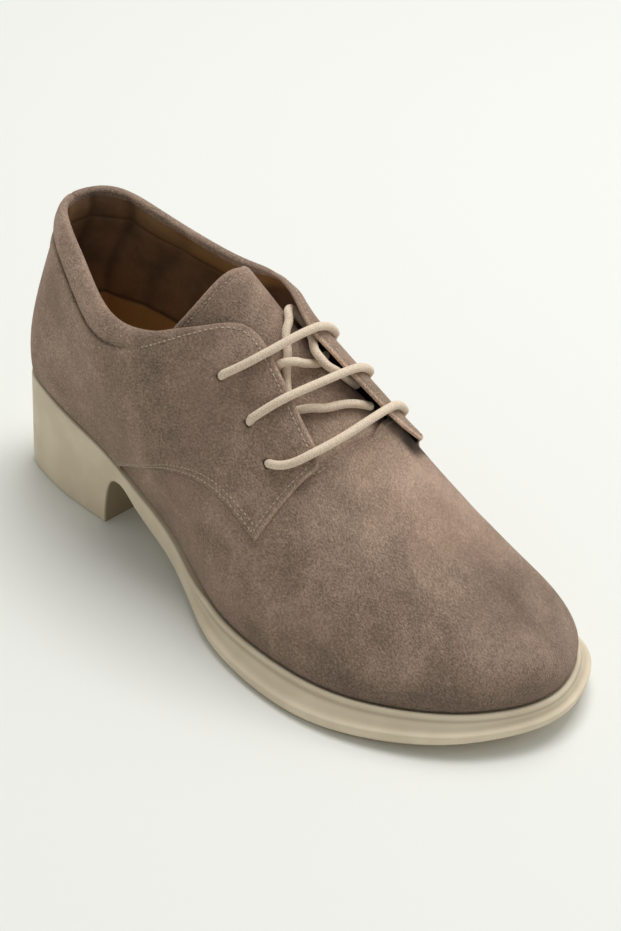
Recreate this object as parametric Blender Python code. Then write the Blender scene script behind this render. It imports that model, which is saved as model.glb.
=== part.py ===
# Lace-up heel, the right shoe of a pair: a three-eyelet derby on a moulded sole with a block heel.
# Metres, +Z up. The origin is the centre of the heel's flat bottom, +X runs to the toe and +Y is
# the inner (medial) side. The shape of the last is a surface over two numbers. The station u runs
# from 0 at the back of the heel, along the outer side, to 14 at the toe, and back along the inner
# side to 28. The height h runs from 0 at the feather line, where upper and sole meet, to 1 at the
# collar or at the ridge over the foot.

import bmesh
import bpy
import math
import numpy as np

MM = 0.001

# Driving sizes
SOLE_LENGTH = 248.0 * MM       # back of the heel to the tip of the welt
HEEL_HEIGHT = 41.0 * MM        # floor to feather line at the back
BACK_HEIGHT = 70.0 * MM        # feather line to collar at the back
BALL_WIDTH = 86.0 * MM         # upper across the ball, at the feather line
HEEL_LENGTH = 56.0 * MM        # flat bottom of the block heel
UPPER_WALL = 1.8 * MM
SEAM_STEP = 1.2 * MM           # how far the quarters stand above the vamp
GAP = 0.45 * MM                # clearance between curved pieces
INSOLE_THICKNESS = 2.4 * MM
TONGUE_THICKNESS = 2.2 * MM
LACE_DIAMETER = 3.0 * MM
EYELET_DIAMETER = 4.6 * MM
WELT_WIDTH = 8.0 * MM          # widest part of the welt, beside the ball
TOE_SPRING = 7.4 * MM          # sole bottom above the floor at the tip

STATIONS = 14                  # from the back of the heel to the toe
TOE = float(STATIONS)
AROUND = 2.0 * STATIONS        # once round the feather line
HEEL_BACK_X = -0.5 * HEEL_LENGTH
BREAST_X = 0.5 * HEEL_LENGTH
HALF_BALL = 0.5 * BALL_WIDTH

# Feather line. Rows are stations 0 to 14. Columns: distance from the back as a share of
# SOLE_LENGTH, outer and inner reach as shares of HALF_BALL, height as a share of HEEL_HEIGHT.
FEATHER_ROWS = np.array([
    (0.001, 0.000, 0.000, 1.000),
    (0.019, 0.293, 0.275, 0.990),
    (0.063, 0.423, 0.409, 0.973),
    (0.135, 0.495, 0.488, 0.907),
    (0.222, 0.502, 0.498, 0.783),
    (0.298, 0.535, 0.488, 0.624),
    (0.382, 0.612, 0.512, 0.473),
    (0.463, 0.767, 0.605, 0.354),
    (0.544, 0.926, 0.767, 0.276),
    (0.637, 0.984, 0.942, 0.244),
    (0.726, 0.972, 1.028, 0.256),
    (0.804, 0.860, 1.014, 0.288),
    (0.879, 0.628, 0.945, 0.327),
    (0.938, 0.307, 0.745, 0.361),
    (0.974, -0.200, 0.200, 0.385),
])

# Welt, as a share of WELT_WIDTH beyond the feather line. Columns: outer, inner side.
WELT_ROWS = np.array([
    (0.06, 0.06), (0.06, 0.06), (0.06, 0.06), (0.10, 0.10), (0.19, 0.19), (0.21, 0.20),
    (0.23, 0.21), (0.39, 0.33), (0.68, 0.55), (0.96, 0.83), (1.00, 1.00), (0.88, 1.00),
    (0.78, 0.92), (0.65, 0.80), (0.60, 0.60),
])

# Lower edge of the sole's side and its bottom. Columns: distance from the back as a share of
# SOLE_LENGTH, both heights as shares of HEEL_HEIGHT. In front of the breast the waist arches up.
SOLE_ROWS = np.array([
    (0.246, 0.570, 0.525),
    (0.262, 0.552, 0.532),
    (0.298, 0.432, 0.415),
    (0.383, 0.236, 0.212),
    (0.460, 0.116, 0.088),
    (0.536, 0.046, 0.014),
    (0.590, 0.030, 0.000),
    (0.760, 0.032, 0.000),
    (0.840, 0.078, 0.035),
    (0.920, 0.140, 0.105),
    (0.976, 0.190, 0.160),
    (1.000, 0.200, TOE_SPRING / HEEL_HEIGHT),
])

# Collar line. Rows run from station 0 to 8. Columns: distance from the back as a share of
# SOLE_LENGTH, reach to the side as a share of HALF_BALL, height as a share of BACK_HEIGHT.
COLLAR_OUTER = np.array([
    (0.050, 0.000, 1.022), (0.066, 0.205, 1.014), (0.102, 0.352, 0.985), (0.155, 0.453, 0.886),
    (0.222, 0.558, 0.757), (0.290, 0.593, 0.736), (0.363, 0.570, 0.829), (0.435, 0.488, 0.964),
    (0.492, 0.349, 1.029),
])
COLLAR_INNER = np.array([
    (0.050, 0.000, 1.022), (0.064, 0.214, 1.038), (0.100, 0.357, 1.040), (0.153, 0.465, 0.985),
    (0.222, 0.549, 0.908), (0.290, 0.574, 0.884), (0.363, 0.523, 0.930), (0.435, 0.412, 1.005),
    (0.492, 0.288, 1.043),
])

# Ridge over the foot. Columns: distance from the back as a share of SOLE_LENGTH, place across
# as a share of HALF_BALL, height as a share of BACK_HEIGHT above the feather line at the back.
RIDGE_ROWS = np.array([
    (0.270, -0.015, 1.400), (0.340, -0.005, 1.268), (0.403, 0.020, 1.130), (0.468, 0.047, 0.975),
    (0.516, 0.070, 0.855), (0.556, 0.093, 0.745), (0.597, 0.120, 0.632), (0.637, 0.151, 0.518),
    (0.677, 0.182, 0.408), (0.726, 0.211, 0.284), (0.786, 0.222, 0.146), (0.843, 0.210, 0.040),
    (0.879, 0.186, -0.020),
])
# Where the ridge is met by stations 4 to 14, as a share of SOLE_LENGTH
RIDGE_MEETS = np.array([0.293, 0.347, 0.403, 0.460, 0.520, 0.593, 0.669, 0.742, 0.798, 0.833, 0.843])
COLLAR_ENDS = 5.6              # station where the collar line starts to climb to the ridge
RIDGE_STARTS = 8.0             # station from which the top of each section is the ridge

# Fullness of each section, in the handles of its curve, as shares of BALL_WIDTH. Rows are
# stations 0 to 14. Columns: swell at the foot and its height on the outer side, the same on
# the inner side, then the swell and drop at the collar, and the reach over the ridge.
FULLNESS = np.array([
    (0.037, 0.256, 0.037, 0.256, 0.041, 0.256, 0.233, 0.233),
    (0.040, 0.256, 0.040, 0.256, 0.047, 0.256, 0.233, 0.233),
    (0.042, 0.256, 0.042, 0.256, 0.064, 0.256, 0.233, 0.233),
    (0.041, 0.256, 0.041, 0.256, 0.093, 0.233, 0.233, 0.233),
    (0.047, 0.256, 0.047, 0.256, 0.105, 0.221, 0.233, 0.233),
    (0.070, 0.279, 0.070, 0.279, 0.116, 0.233, 0.233, 0.233),
    (0.081, 0.314, 0.081, 0.314, 0.116, 0.279, 0.233, 0.233),
    (0.087, 0.326, 0.087, 0.326, 0.116, 0.302, 0.233, 0.233),
    (0.076, 0.314, 0.076, 0.314, 0.116, 0.302, 0.256, 0.256),
    (0.058, 0.291, 0.057, 0.283, 0.116, 0.302, 0.302, 0.287),
    (0.047, 0.256, 0.044, 0.227, 0.116, 0.302, 0.314, 0.261),
    (0.041, 0.209, 0.037, 0.174, 0.116, 0.302, 0.326, 0.274),
    (0.040, 0.176, 0.038, 0.165, 0.116, 0.302, 0.314, 0.274),
    (0.043, 0.172, 0.040, 0.163, 0.116, 0.302, 0.279, 0.270),
    (0.045, 0.176, 0.045, 0.176, 0.116, 0.302, 0.256, 0.256),
])

# Quarters, drawn on the last as (station, height) from the heel to the front of the flap.
# Upper edge: collar, then the facing down to the flap's front corner. Lower edge: feather
# line, then the seam over the vamp up to the flap's front tip.
QUARTER_TOP_OUTER = np.array([
    (0.0, 1.000), (1.3, 1.000), (2.6, 1.000), (3.9, 1.000), (5.1, 1.000), (5.9, 0.985),
    (6.45, 0.932), (6.95, 0.900), (7.40, 0.855), (7.80, 0.815), (8.20, 0.795), (8.65, 0.769),
    (9.07, 0.742), (9.22, 0.706),
])
QUARTER_TOP_INNER = np.array([
    (0.0, 1.000), (1.3, 1.000), (2.6, 1.000), (3.9, 1.000), (5.1, 1.000), (5.9, 0.998),
    (6.45, 0.996), (6.95, 0.990), (7.40, 0.982), (7.85, 0.970), (8.35, 0.950), (8.95, 0.922),
    (9.55, 0.866), (9.82, 0.790),
])
QUARTER_LOW_OUTER = np.array([
    (0.0, 0.000), (0.8, 0.000), (1.6, 0.000), (2.4, 0.000), (3.2, 0.000), (4.0, 0.000),
    (4.50, 0.030), (4.95, 0.140), (5.45, 0.250), (6.00, 0.332), (6.70, 0.356), (7.45, 0.372),
    (8.10, 0.384), (8.60, 0.375),
])
QUARTER_LOW_INNER = np.array([
    (0.0, 0.000), (0.8, 0.000), (1.6, 0.000), (2.4, 0.000), (3.2, 0.000), (4.0, 0.000),
    (4.50, 0.030), (4.95, 0.140), (5.45, 0.250), (6.00, 0.332), (6.75, 0.362), (7.60, 0.385),
    (8.40, 0.402), (9.05, 0.400),
])

# Rear edge of the vamp as (station, height), the same on both sides. Its long wings are hidden
# under the quarters, and between the flaps it meets the ridge at the throat.
VAMP_REAR = np.array([
    (4.00, 0.080), (4.50, 0.160), (5.05, 0.270), (5.60, 0.380), (6.20, 0.430), (7.00, 0.455),
    (7.80, 0.490), (8.30, 0.540), (8.70, 0.600), (9.00, 0.655), (9.25, 0.720), (9.40, 0.810),
    (9.50, 0.905), (9.60, 1.000),
])
THROAT = 9.6                   # station whose section meets the ridge at the throat
VAMP_LEAN = 0.6                # stations by which columns under the throat lean forward

# Eyelets on the outer and inner flap as (station, height), from the top one down
EYELETS_OUTER = np.array([(7.15, 0.680), (7.95, 0.615), (8.47, 0.583)])
EYELETS_INNER = np.array([(8.03, 0.795), (8.74, 0.775), (9.30, 0.715)])

# Lace strands as (station, height, distance above the last in mm). Minus stations are on the
# inner side. The bars also run down into an eyelet at each end. The others lie on the tongue
# and end under a flap.
BAR_ROWS = (
    ((7.34, 0.698, 4.9), (7.60, 0.765, 5.7), (7.76, 0.825, 6.3), (7.80, 0.900, 5.8),
     (7.81, 0.975, 6.6), (-7.86, 0.955, 8.0), (-7.93, 0.905, 8.3), (-8.01, 0.840, 7.0)),
    ((8.11, 0.667, 5.0), (8.22, 0.712, 5.5), (8.35, 0.781, 6.3), (8.50, 0.856, 5.4),
     (8.60, 0.938, 5.9), (-8.66, 0.965, 7.5), (-8.71, 0.900, 8.0), (-8.74, 0.828, 7.1)),
    ((8.64, 0.604, 4.4), (8.80, 0.632, 5.2), (8.98, 0.685, 6.1), (9.15, 0.760, 5.9),
     (9.28, 0.840, 5.2), (9.35, 0.925, 5.4), (-9.38, 0.965, 6.8), (-9.37, 0.885, 7.8),
     (-9.33, 0.775, 6.4)),
)
UNDER_ROWS = (
    ((7.74, 0.755, -0.9), (7.83, 0.783, -0.7), (7.91, 0.803, -0.3), (7.98, 0.835, 2.2),
     (8.05, 0.859, 3.5), (8.11, 0.882, 3.0), (8.19, 0.920, 0.3), (8.25, 0.965, -1.1),
     (-8.30, 0.990, -1.2), (-8.31, 0.945, -1.2), (-8.27, 0.895, -1.2)),
    ((8.40, 0.740, -0.9), (8.55, 0.785, -1.1), (8.70, 0.838, -1.1), (8.85, 0.888, -1.0),
     (8.95, 0.950, -0.9), (-9.05, 0.981, -0.7), (-9.14, 0.930, -0.5), (-9.20, 0.885, -0.4)),
)
LOOP_ROWS = ((-7.52, 0.800, -0.6), (-7.32, 0.835, -0.4), (-7.22, 0.885, -0.2),
             (-7.28, 0.945, -0.2), (-7.42, 0.990, -0.4), (7.56, 0.965, -0.8),
             (7.80, 0.914, -1.1), (7.95, 0.885, -1.2), (8.05, 0.854, -1.2),
             (8.19, 0.815, -1.2), (8.32, 0.788, -1.1))
END_ROWS = ((-7.72, 0.860, -0.6), (-7.84, 0.905, -0.2), (-7.98, 0.955, 0.8),
            (8.12, 0.995, 2.0), (8.26, 0.988, 2.6), (8.40, 0.994, 2.6),
            (-8.55, 0.970, 1.8), (-8.66, 0.930, 0.6), (-8.75, 0.880, -0.6),
            (-8.80, 0.825, -1.1))

INNER_FLAP_LIFT = 4.0 * MM     # the inner flap's facing edge curls up off the tongue
OUTER_FLAP_LIFT = 2.8 * MM
COLLAR_WALL = 3.4 * MM         # the padded collar is thicker than the rest of the wall

TONGUE_FRONT = 10.1            # station where the tongue ends under the vamp
TONGUE_BACK = 6.0              # station of its free top edge on the ridge
TONGUE_ROUND = 4.4             # stations its top edge falls back by, per squared unit of height
TONGUE_LOW_H = 0.56            # section height of its side edges
TONGUE_CLEAR = 2.2 * MM        # room for the lace between tongue and flaps
TONGUE_UNDER = 0.35 * MM       # more than GAP between the tongue and the vamp over it
TONGUE_RISE = 1.3 * MM         # how much nearer the flaps the middle of its free part lies
TONGUE_TUCK = 1.8 * MM         # how much deeper the side edges of its free part lie
SOLE_INSET = 6.0 * MM          # how far the sole's top face reaches in under the upper
EDGE_ROUND = 0.6 * MM          # rounding of the sole's bottom edge and the footbed's top edge


def smooth_step(low, high, value):
    """Rises from 0 at low to 1 at high with level ends."""
    share = np.clip((value - low) / (high - low), 0.0, 1.0)
    return share * share * (3.0 - 2.0 * share)


def spline(nodes, rows, where, closed=False):
    """Cubic spline through the rows at the nodes, with free ends or closed into a loop."""
    nodes = np.asarray(nodes, float)
    rows = np.asarray(rows, float)
    flat = rows.ndim == 1
    if flat:
        rows = rows[:, None]
    count = len(nodes)
    step = np.diff(nodes)
    matrix = np.zeros((count, count))
    right = np.zeros((count, rows.shape[1]))
    for i in range(1, count - 1):
        matrix[i, i - 1] = step[i - 1]
        matrix[i, i] = 2.0 * (step[i - 1] + step[i])
        matrix[i, i + 1] = step[i]
        right[i] = 6.0 * ((rows[i + 1] - rows[i]) / step[i] - (rows[i] - rows[i - 1]) / step[i - 1])
    matrix[0, 0] = 1.0
    matrix[-1, -1] = 1.0
    if closed:
        matrix[0, 0] = 2.0 * (step[0] + step[-1])
        matrix[0, 1] = step[0]
        matrix[0, -2] = step[-1]
        right[0] = 6.0 * ((rows[1] - rows[0]) / step[0] - (rows[0] - rows[-2]) / step[-1])
        matrix[-1, 0] = -1.0
    bend = np.linalg.solve(matrix, right)
    where = np.asarray(where, float)
    if closed:
        where = nodes[0] + np.mod(where - nodes[0], nodes[-1] - nodes[0])
    left = np.clip(np.searchsorted(nodes, where, side="right") - 1, 0, count - 2)
    a = ((nodes[left + 1] - where) / step[left])[..., None]
    b = ((where - nodes[left]) / step[left])[..., None]
    size = (step[left] ** 2)[..., None]
    found = a * rows[left] + b * rows[left + 1]
    found = found + ((a ** 3 - a) * bend[left] + (b ** 3 - b) * bend[left + 1]) * size / 6.0
    return found[..., 0] if flat else found


def from_back(share):
    """X of a place given as a share of the sole's length from the back."""
    return HEEL_BACK_X + share * SOLE_LENGTH


def feather_points():
    """The feather line's stations once round, as points."""
    x = from_back(FEATHER_ROWS[:, 0])
    z = FEATHER_ROWS[:, 3] * HEEL_HEIGHT
    outer = np.column_stack([x, -FEATHER_ROWS[:, 1] * HALF_BALL, z])
    inner = np.column_stack([x, FEATHER_ROWS[:, 2] * HALF_BALL, z])
    return np.vstack([outer, inner[-2::-1]])


def collar_points():
    """The collar's stations from inner 8 through the back to outer 8, as points."""
    sides = []
    for rows, sign in ((COLLAR_OUTER, -1.0), (COLLAR_INNER, 1.0)):
        z = HEEL_HEIGHT + rows[:, 2] * BACK_HEIGHT
        sides.append(np.column_stack([from_back(rows[:, 0]), sign * rows[:, 1] * HALF_BALL, z]))
    return np.vstack([sides[1][::-1], sides[0][1:]])


ROUND_NODES = np.arange(2 * STATIONS + 1.0)
FEATHER_POINTS = feather_points()
COLLAR_POINTS = collar_points()
COLLAR_NODES = np.arange(-8.0, 9.0)
RIDGE_X = from_back(RIDGE_ROWS[:, 0])
RIDGE_POINTS = np.column_stack([RIDGE_ROWS[:, 1] * HALF_BALL,
                                HEEL_HEIGHT + RIDGE_ROWS[:, 2] * BACK_HEIGHT])
RIDGE_NODES = np.arange(4.0, 25.0)
RIDGE_MEET_X = from_back(np.concatenate([RIDGE_MEETS, RIDGE_MEETS[-2::-1]]))
FOOT_SWELL = np.vstack([FULLNESS[:, 0:2], FULLNESS[-2::-1, 2:4]]) * BALL_WIDTH
COLLAR_SWELL = np.vstack([FULLNESS[8::-1, 4:6], FULLNESS[1:9, 4:6]]) * BALL_WIDTH
RIDGE_REACH = np.concatenate([FULLNESS[4:, 6], FULLNESS[-2:3:-1, 7]]) * BALL_WIDTH


def feather(u):
    """Point of the feather line at a station."""
    return spline(ROUND_NODES, FEATHER_POINTS, u, closed=True)


def outward(u):
    """Level unit vector out of the feather line."""
    along = feather(u + 0.02) - feather(u - 0.02)
    side = np.stack([along[..., 1], -along[..., 0]], axis=-1)
    return side / np.linalg.norm(side, axis=-1, keepdims=True)


def fold(u):
    """Station counted from the back on either side, and whether it is the inner side."""
    u = np.mod(u, AROUND)
    inner = u > STATIONS
    return np.where(inner, AROUND - u, u), inner


def ridge(x):
    """Point of the ridge over the foot at x, and its tangent with unit run."""
    point = spline(RIDGE_X, RIDGE_POINTS, x)
    ahead = spline(RIDGE_X, RIDGE_POINTS, x + 0.5 * MM)
    behind = spline(RIDGE_X, RIDGE_POINTS, x - 0.5 * MM)
    slope = (ahead - behind) / MM
    place = np.concatenate([x[..., None], point], axis=-1)
    return place, np.concatenate([np.ones_like(x)[..., None], slope], axis=-1)


def last(u, h, all_ridge=False):
    """Surface of the last: a cubic Bezier from the feather line up to the collar or ridge.

    With all_ridge the sections behind the throat also close over the foot, as the tongue does."""
    u, h = np.broadcast_arrays(np.asarray(u, float), np.asarray(h, float))
    count, inner = fold(u)
    foot = feather(u)
    out = outward(u)
    swell = spline(ROUND_NODES, FOOT_SWELL, u, closed=True)
    low = foot + np.concatenate([swell[..., :1] * out, swell[..., 1:]], axis=-1)
    on_collar = 1.0 - smooth_step(COLLAR_ENDS, RIDGE_STARTS, count)[..., None]
    if all_ridge:
        on_collar = np.zeros_like(on_collar)
    signed = np.clip(np.where(inner, -count, count), -8.0, 8.0)
    collar = spline(COLLAR_NODES, COLLAR_POINTS, signed)
    turn = np.clip(count, 4.0, TOE)
    turn = np.where(inner, AROUND - turn, turn)
    top, tangent = ridge(spline(RIDGE_NODES, RIDGE_MEET_X, turn))
    top = on_collar * collar + (1.0 - on_collar) * top
    drop = spline(COLLAR_NODES, COLLAR_SWELL, signed)
    from_collar = np.concatenate([drop[..., :1] * out, -drop[..., 1:]], axis=-1)
    reach = spline(RIDGE_NODES, RIDGE_REACH, turn)[..., None]
    from_ridge = reach * (out[..., :1] * tangent + out[..., 1:] * np.array([0.0, 1.0, 0.0]))
    high = top + on_collar * from_collar + (1.0 - on_collar) * from_ridge
    h = h[..., None]
    rest = 1.0 - h
    return rest ** 3 * foot + 3 * rest ** 2 * h * low + 3 * rest * h * h * high + h ** 3 * top


def last_normal(u, h, all_ridge=False):
    """Outward unit normal of the last, the mean of both sides where they meet on the ridge."""
    def one_side(station):
        level = np.clip(h, 0.004, 0.985)
        around = last(station + 0.03, level, all_ridge) - last(station - 0.03, level, all_ridge)
        upward = last(station, level + 0.004, all_ridge) - last(station, level - 0.004, all_ridge)
        cross = np.cross(around, upward)
        return cross / np.linalg.norm(cross, axis=-1, keepdims=True)
    u, h = np.broadcast_arrays(np.asarray(u, float), np.asarray(h, float))
    normal = one_side(u)
    both = smooth_step(0.94, 1.0, h)[..., None]
    if not all_ridge:
        both = both * smooth_step(RIDGE_STARTS - 0.4, RIDGE_STARTS, fold(u)[0])[..., None]
    mean = normal + both * one_side(AROUND - u)
    return mean / np.linalg.norm(mean, axis=-1, keepdims=True)


def offset(u, h, distance, all_ridge=False):
    """Point at a distance outside the last."""
    return last(u, h, all_ridge) + distance[..., None] * last_normal(u, h, all_ridge)


def station_at(x):
    """Station of the outer side whose feather point lies at x."""
    stations = np.linspace(0.0, TOE, 1401)
    return float(np.interp(x, feather(stations)[:, 0], stations))


def add_mesh(name, points, faces, color, roughness):
    """A closed mesh object, shaded smooth, with its own material."""
    mesh = bpy.data.meshes.new(name)
    mesh.from_pydata([tuple(point) for point in points], [], faces)
    mesh.update()
    edit = bmesh.new()
    edit.from_mesh(mesh)
    bmesh.ops.recalc_face_normals(edit, faces=edit.faces)
    if edit.calc_volume(signed=True) < 0.0:
        bmesh.ops.reverse_faces(edit, faces=edit.faces)
    edit.to_mesh(mesh)
    edit.free()
    mesh.shade_smooth()
    mesh.set_sharp_from_angle(angle=math.radians(40.0))
    piece = bpy.data.objects.new(name, mesh)
    bpy.context.scene.collection.objects.link(piece)
    mesh.materials.append(make_material(name, color, roughness))
    return piece


def make_material(name, color, roughness):
    """A plain Principled material."""
    material = bpy.data.materials.new(name)
    material.use_nodes = True
    shader = material.node_tree.nodes["Principled BSDF"]
    shader.inputs["Base Color"].default_value = (*color, 1.0)
    shader.inputs["Roughness"].default_value = roughness
    shader.inputs["Metallic"].default_value = 0.0
    return material


def make_cutter(piece):
    """Marks an object as a tool of a Boolean, left out of the model."""
    piece.hide_render = True
    piece.display_type = "WIRE"


def add_boolean(piece, tool, operation):
    """Unites or cuts a piece with a tool."""
    modifier = piece.modifiers.new(tool.name, "BOOLEAN")
    modifier.operation = operation
    modifier.solver = "EXACT"
    modifier.object = tool


def split_short(points, loop):
    """A quad cut along its shorter diagonal, or the triangle as it is."""
    if len(loop) == 3:
        return [loop]
    a, b, c, d = loop
    if np.linalg.norm(points[a] - points[c]) <= np.linalg.norm(points[b] - points[d]):
        return [[a, b, c], [a, c, d]]
    return [[a, b, d], [b, c, d]]


def shell_from_grids(outer, inner, keys):
    """Closed shell between two grids of points that share one pattern.

    Keys name each grid place, and places with one key are one point. Every edge that only one
    quad uses gets a rim face between outer and inner grid."""
    rows, columns = keys.shape
    unique, first, place = np.unique(keys.ravel(), return_index=True, return_inverse=True)
    place = place.reshape(rows, columns)
    count = len(unique)
    points = np.vstack([outer.reshape(-1, 3)[first], inner.reshape(-1, 3)[first]])
    faces = []
    used = set()
    for i in range(rows - 1):
        for j in range(columns - 1):
            corners = [place[i, j], place[i, j + 1], place[i + 1, j + 1], place[i + 1, j]]
            loop = [int(c) for k, c in enumerate(corners) if c != corners[k - 1]]
            if len(loop) < 3:
                continue
            faces.extend(split_short(points, loop))
            faces.extend(split_short(points, [c + count for c in reversed(loop)]))
            used.update(zip(loop, loop[1:] + loop[:1]))
    for a, b in used:
        if (b, a) not in used:
            faces.append([b, a, a + count, b + count])
    return points, faces


def sole_height(x):
    """Heights of the lower edge of the sole's side and of its bottom, in front of the heel."""
    rows = SOLE_ROWS[:, 1:] * HEEL_HEIGHT
    found = spline(from_back(SOLE_ROWS[:, 0]), rows, np.maximum(x, from_back(SOLE_ROWS[0, 0])))
    return found[..., 0], np.maximum(found[..., 1], 0.0)


def heel_bottom(x):
    """Height of the bottom: the floor under the heel, the rounded breast, then the waist."""
    arch_top = from_back(SOLE_ROWS[1, 0])
    _, waist = sole_height(np.maximum(x, arch_top))
    share = np.clip((x - BREAST_X) / (arch_top - BREAST_X), 0.0, 1.0)
    breast = waist * (1.0 - (1.0 - share) ** 4) ** 0.5
    return np.where(x <= BREAST_X + 1e-6, 0.0, np.where(x < arch_top, breast, waist))


def sole_columns():
    """Stations of the sole's columns on one side, closer together at the heel breast."""
    breast = [0.0, 0.15, 0.6, 1.3, 2.4, 4.0, 6.0]
    near = [station_at(BREAST_X + distance * MM) for distance in breast]
    behind = np.concatenate([np.linspace(0.0, 2.0, 8), np.linspace(2.35, near[0] - 0.3, 4)])
    ahead = np.linspace(near[-1] + 0.25, TOE, 24)
    return np.concatenate([behind, near, ahead])


def build_outsole():
    """Moulded sole: a loop of side profiles, closed by rungs across the top and the bottom."""
    one_side = sole_columns()
    u = np.concatenate([one_side, (AROUND - one_side)[-2:0:-1]])
    count = len(u)
    foot = feather(u)
    out = outward(u)
    welt_rows = np.vstack([WELT_ROWS[:, :1], WELT_ROWS[-2::-1, 1:]])[:, 0] * WELT_WIDTH
    width = spline(ROUND_NODES, welt_rows, u, closed=True)
    bottom = heel_bottom(foot[:, 0])
    lower, _ = sole_height(foot[:, 0])
    lower = np.where(foot[:, 0] < from_back(SOLE_ROWS[1, 0]), bottom + EDGE_ROUND, lower)
    lower = np.maximum(lower, bottom + EDGE_ROUND)
    top = foot[:, 2] - GAP
    side = top - lower
    rim = smooth_step(0.25 * WELT_WIDTH, 0.6 * WELT_WIDTH, width)
    # Each row of the profile: how far out beyond the feather line, and how high, for a flush
    # side as at the heel and for the welt with its bead, scooped slope and rounded edge.
    flush = [(-SOLE_INSET, top), (width - 1.2 * MM, top), (width - 0.8 * MM, top),
             (width - 0.4 * MM, top - 0.1 * MM), (width - 0.1 * MM, top - 0.4 * MM),
             (width, top - 0.9 * MM), (width, top - 0.25 * side), (width, top - 0.42 * side),
             (width, top - 0.58 * side), (width, top - 0.74 * side), (width, top - 0.88 * side),
             (width - 0.2 * MM, lower), (width - 0.6 * MM, bottom + 0.2 * MM),
             (width - 1.3 * MM, bottom)]
    welt = [(-SOLE_INSET, top), (0.5 * MM, top), (0.8 * MM, top + 0.75 * MM),
            (1.4 * MM, top + 0.95 * MM), (2.0 * MM, top + 0.6 * MM),
            (2.3 * MM, top - 0.2 * MM), (0.45 * width + 1.0 * MM, top - 0.17 * side),
            (width - 0.9 * MM, top - 0.36 * side), (width - 0.15 * MM, top - 0.54 * side),
            (width, top - 0.72 * side), (width - 0.15 * MM, top - 0.88 * side),
            (width - 0.8 * MM, lower), (width - 2.0 * MM, bottom + 0.35 * MM),
            (width - 3.0 * MM, bottom)]
    rings = []
    for (near, high), (far, raised) in zip(flush, welt):
        reach = (1.0 - rim) * near + rim * far
        height = (1.0 - rim) * high + rim * raised
        rings.append(np.column_stack([foot[:, :2] + reach[:, None] * out, height]))
    points = np.vstack(rings)
    rows = len(rings)
    faces = []
    for r in range(rows - 1):
        for c in range(count):
            after = (c + 1) % count
            faces.append([r * count + c, r * count + after, (r + 1) * count + after,
                          (r + 1) * count + c])
    half = len(one_side) - 1
    for base, flip in ((0, True), ((rows - 1) * count, False)):
        for c in range(half):
            mate = (count - c) % count
            quad = [base + c, base + c + 1, base + count - c - 1, base + mate]
            if c == 0:
                quad = quad[:3]
            elif c == half - 1:
                quad = [quad[0], quad[1], quad[3]]
            faces.append(quad[::-1] if flip else quad)
    return add_mesh("outsole", points, faces, (0.62, 0.53, 0.42), 0.55)


def build_insole():
    """Footbed: lies on the sole inside the upper's wall."""
    one_side = np.concatenate([np.linspace(0.0, 2.0, 7), np.linspace(2.4, TOE, 23)])
    u = np.concatenate([one_side, (AROUND - one_side)[-2:0:-1]])
    count = len(u)
    foot = feather(u)
    out = outward(u)
    edge = -(UPPER_WALL + GAP)
    levels = [(edge - 3.0 * MM, 0.0), (edge, 0.0), (edge, INSOLE_THICKNESS - EDGE_ROUND),
              (edge - EDGE_ROUND, INSOLE_THICKNESS), (edge - 3.0 * MM, INSOLE_THICKNESS)]
    rings = []
    for reach, height in levels:
        rings.append(np.column_stack([foot[:, :2] + reach * out, foot[:, 2] + height]))
    points = np.vstack(rings)
    faces = []
    for r in range(len(rings) - 1):
        for c in range(count):
            after = (c + 1) % count
            faces.append([r * count + c, r * count + after, (r + 1) * count + after,
                          (r + 1) * count + c])
    half = len(one_side) - 1
    for base in (0, (len(rings) - 1) * count):
        for c in range(half):
            quad = [base + c, base + c + 1, base + count - c - 1, base + (count - c) % count]
            if c == 0:
                quad = quad[:3]
            elif c == half - 1:
                quad = [quad[0], quad[1], quad[3]]
            faces.append(quad)
    return add_mesh("insole", points, faces, (0.35, 0.2, 0.11), 0.6)


def build_vamp():
    """Front of the upper: one shell over the toe with a long wing back on each side."""
    steps = np.concatenate([np.linspace(VAMP_REAR[0, 0], 8.8, 10), np.linspace(9.0, THROAT, 6),
                            np.linspace(9.9, TOE, 13)])
    rows = 10
    share = np.linspace(0.0, 1.0, rows)
    stations = np.concatenate([steps, (AROUND - steps)[-2::-1]])
    count, inner_side = fold(stations)
    top = np.where(count >= THROAT, 1.0, np.interp(count, VAMP_REAR[:, 0], VAMP_REAR[:, 1]))
    # Below the throat the columns lean forward, so that they cross the rear edge squarely
    lean = VAMP_LEAN * smooth_step(7.6, THROAT, count) * (1.0 - smooth_step(THROAT, 12.4, count))
    foot_station = np.where(inner_side, stations - lean, stations + lean)
    u = foot_station[:, None] + (stations - foot_station)[:, None] * share[None, :]
    h = top[:, None] * share[None, :]
    keys = np.arange(u.size).reshape(u.shape)
    last_column = len(stations) - 1
    for c in range(len(stations)):
        if count[c] >= THROAT and stations[c] > STATIONS:
            keys[c, -1] = keys[last_column - c, -1]
    outer = offset(u, h, np.zeros_like(h))
    inner = offset(u, h, np.full_like(h, -UPPER_WALL + 0.1 * MM))
    points, faces = shell_from_grids(outer, inner, keys)
    return add_mesh("vamp", points, faces, (0.21, 0.16, 0.13), 0.9)


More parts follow.
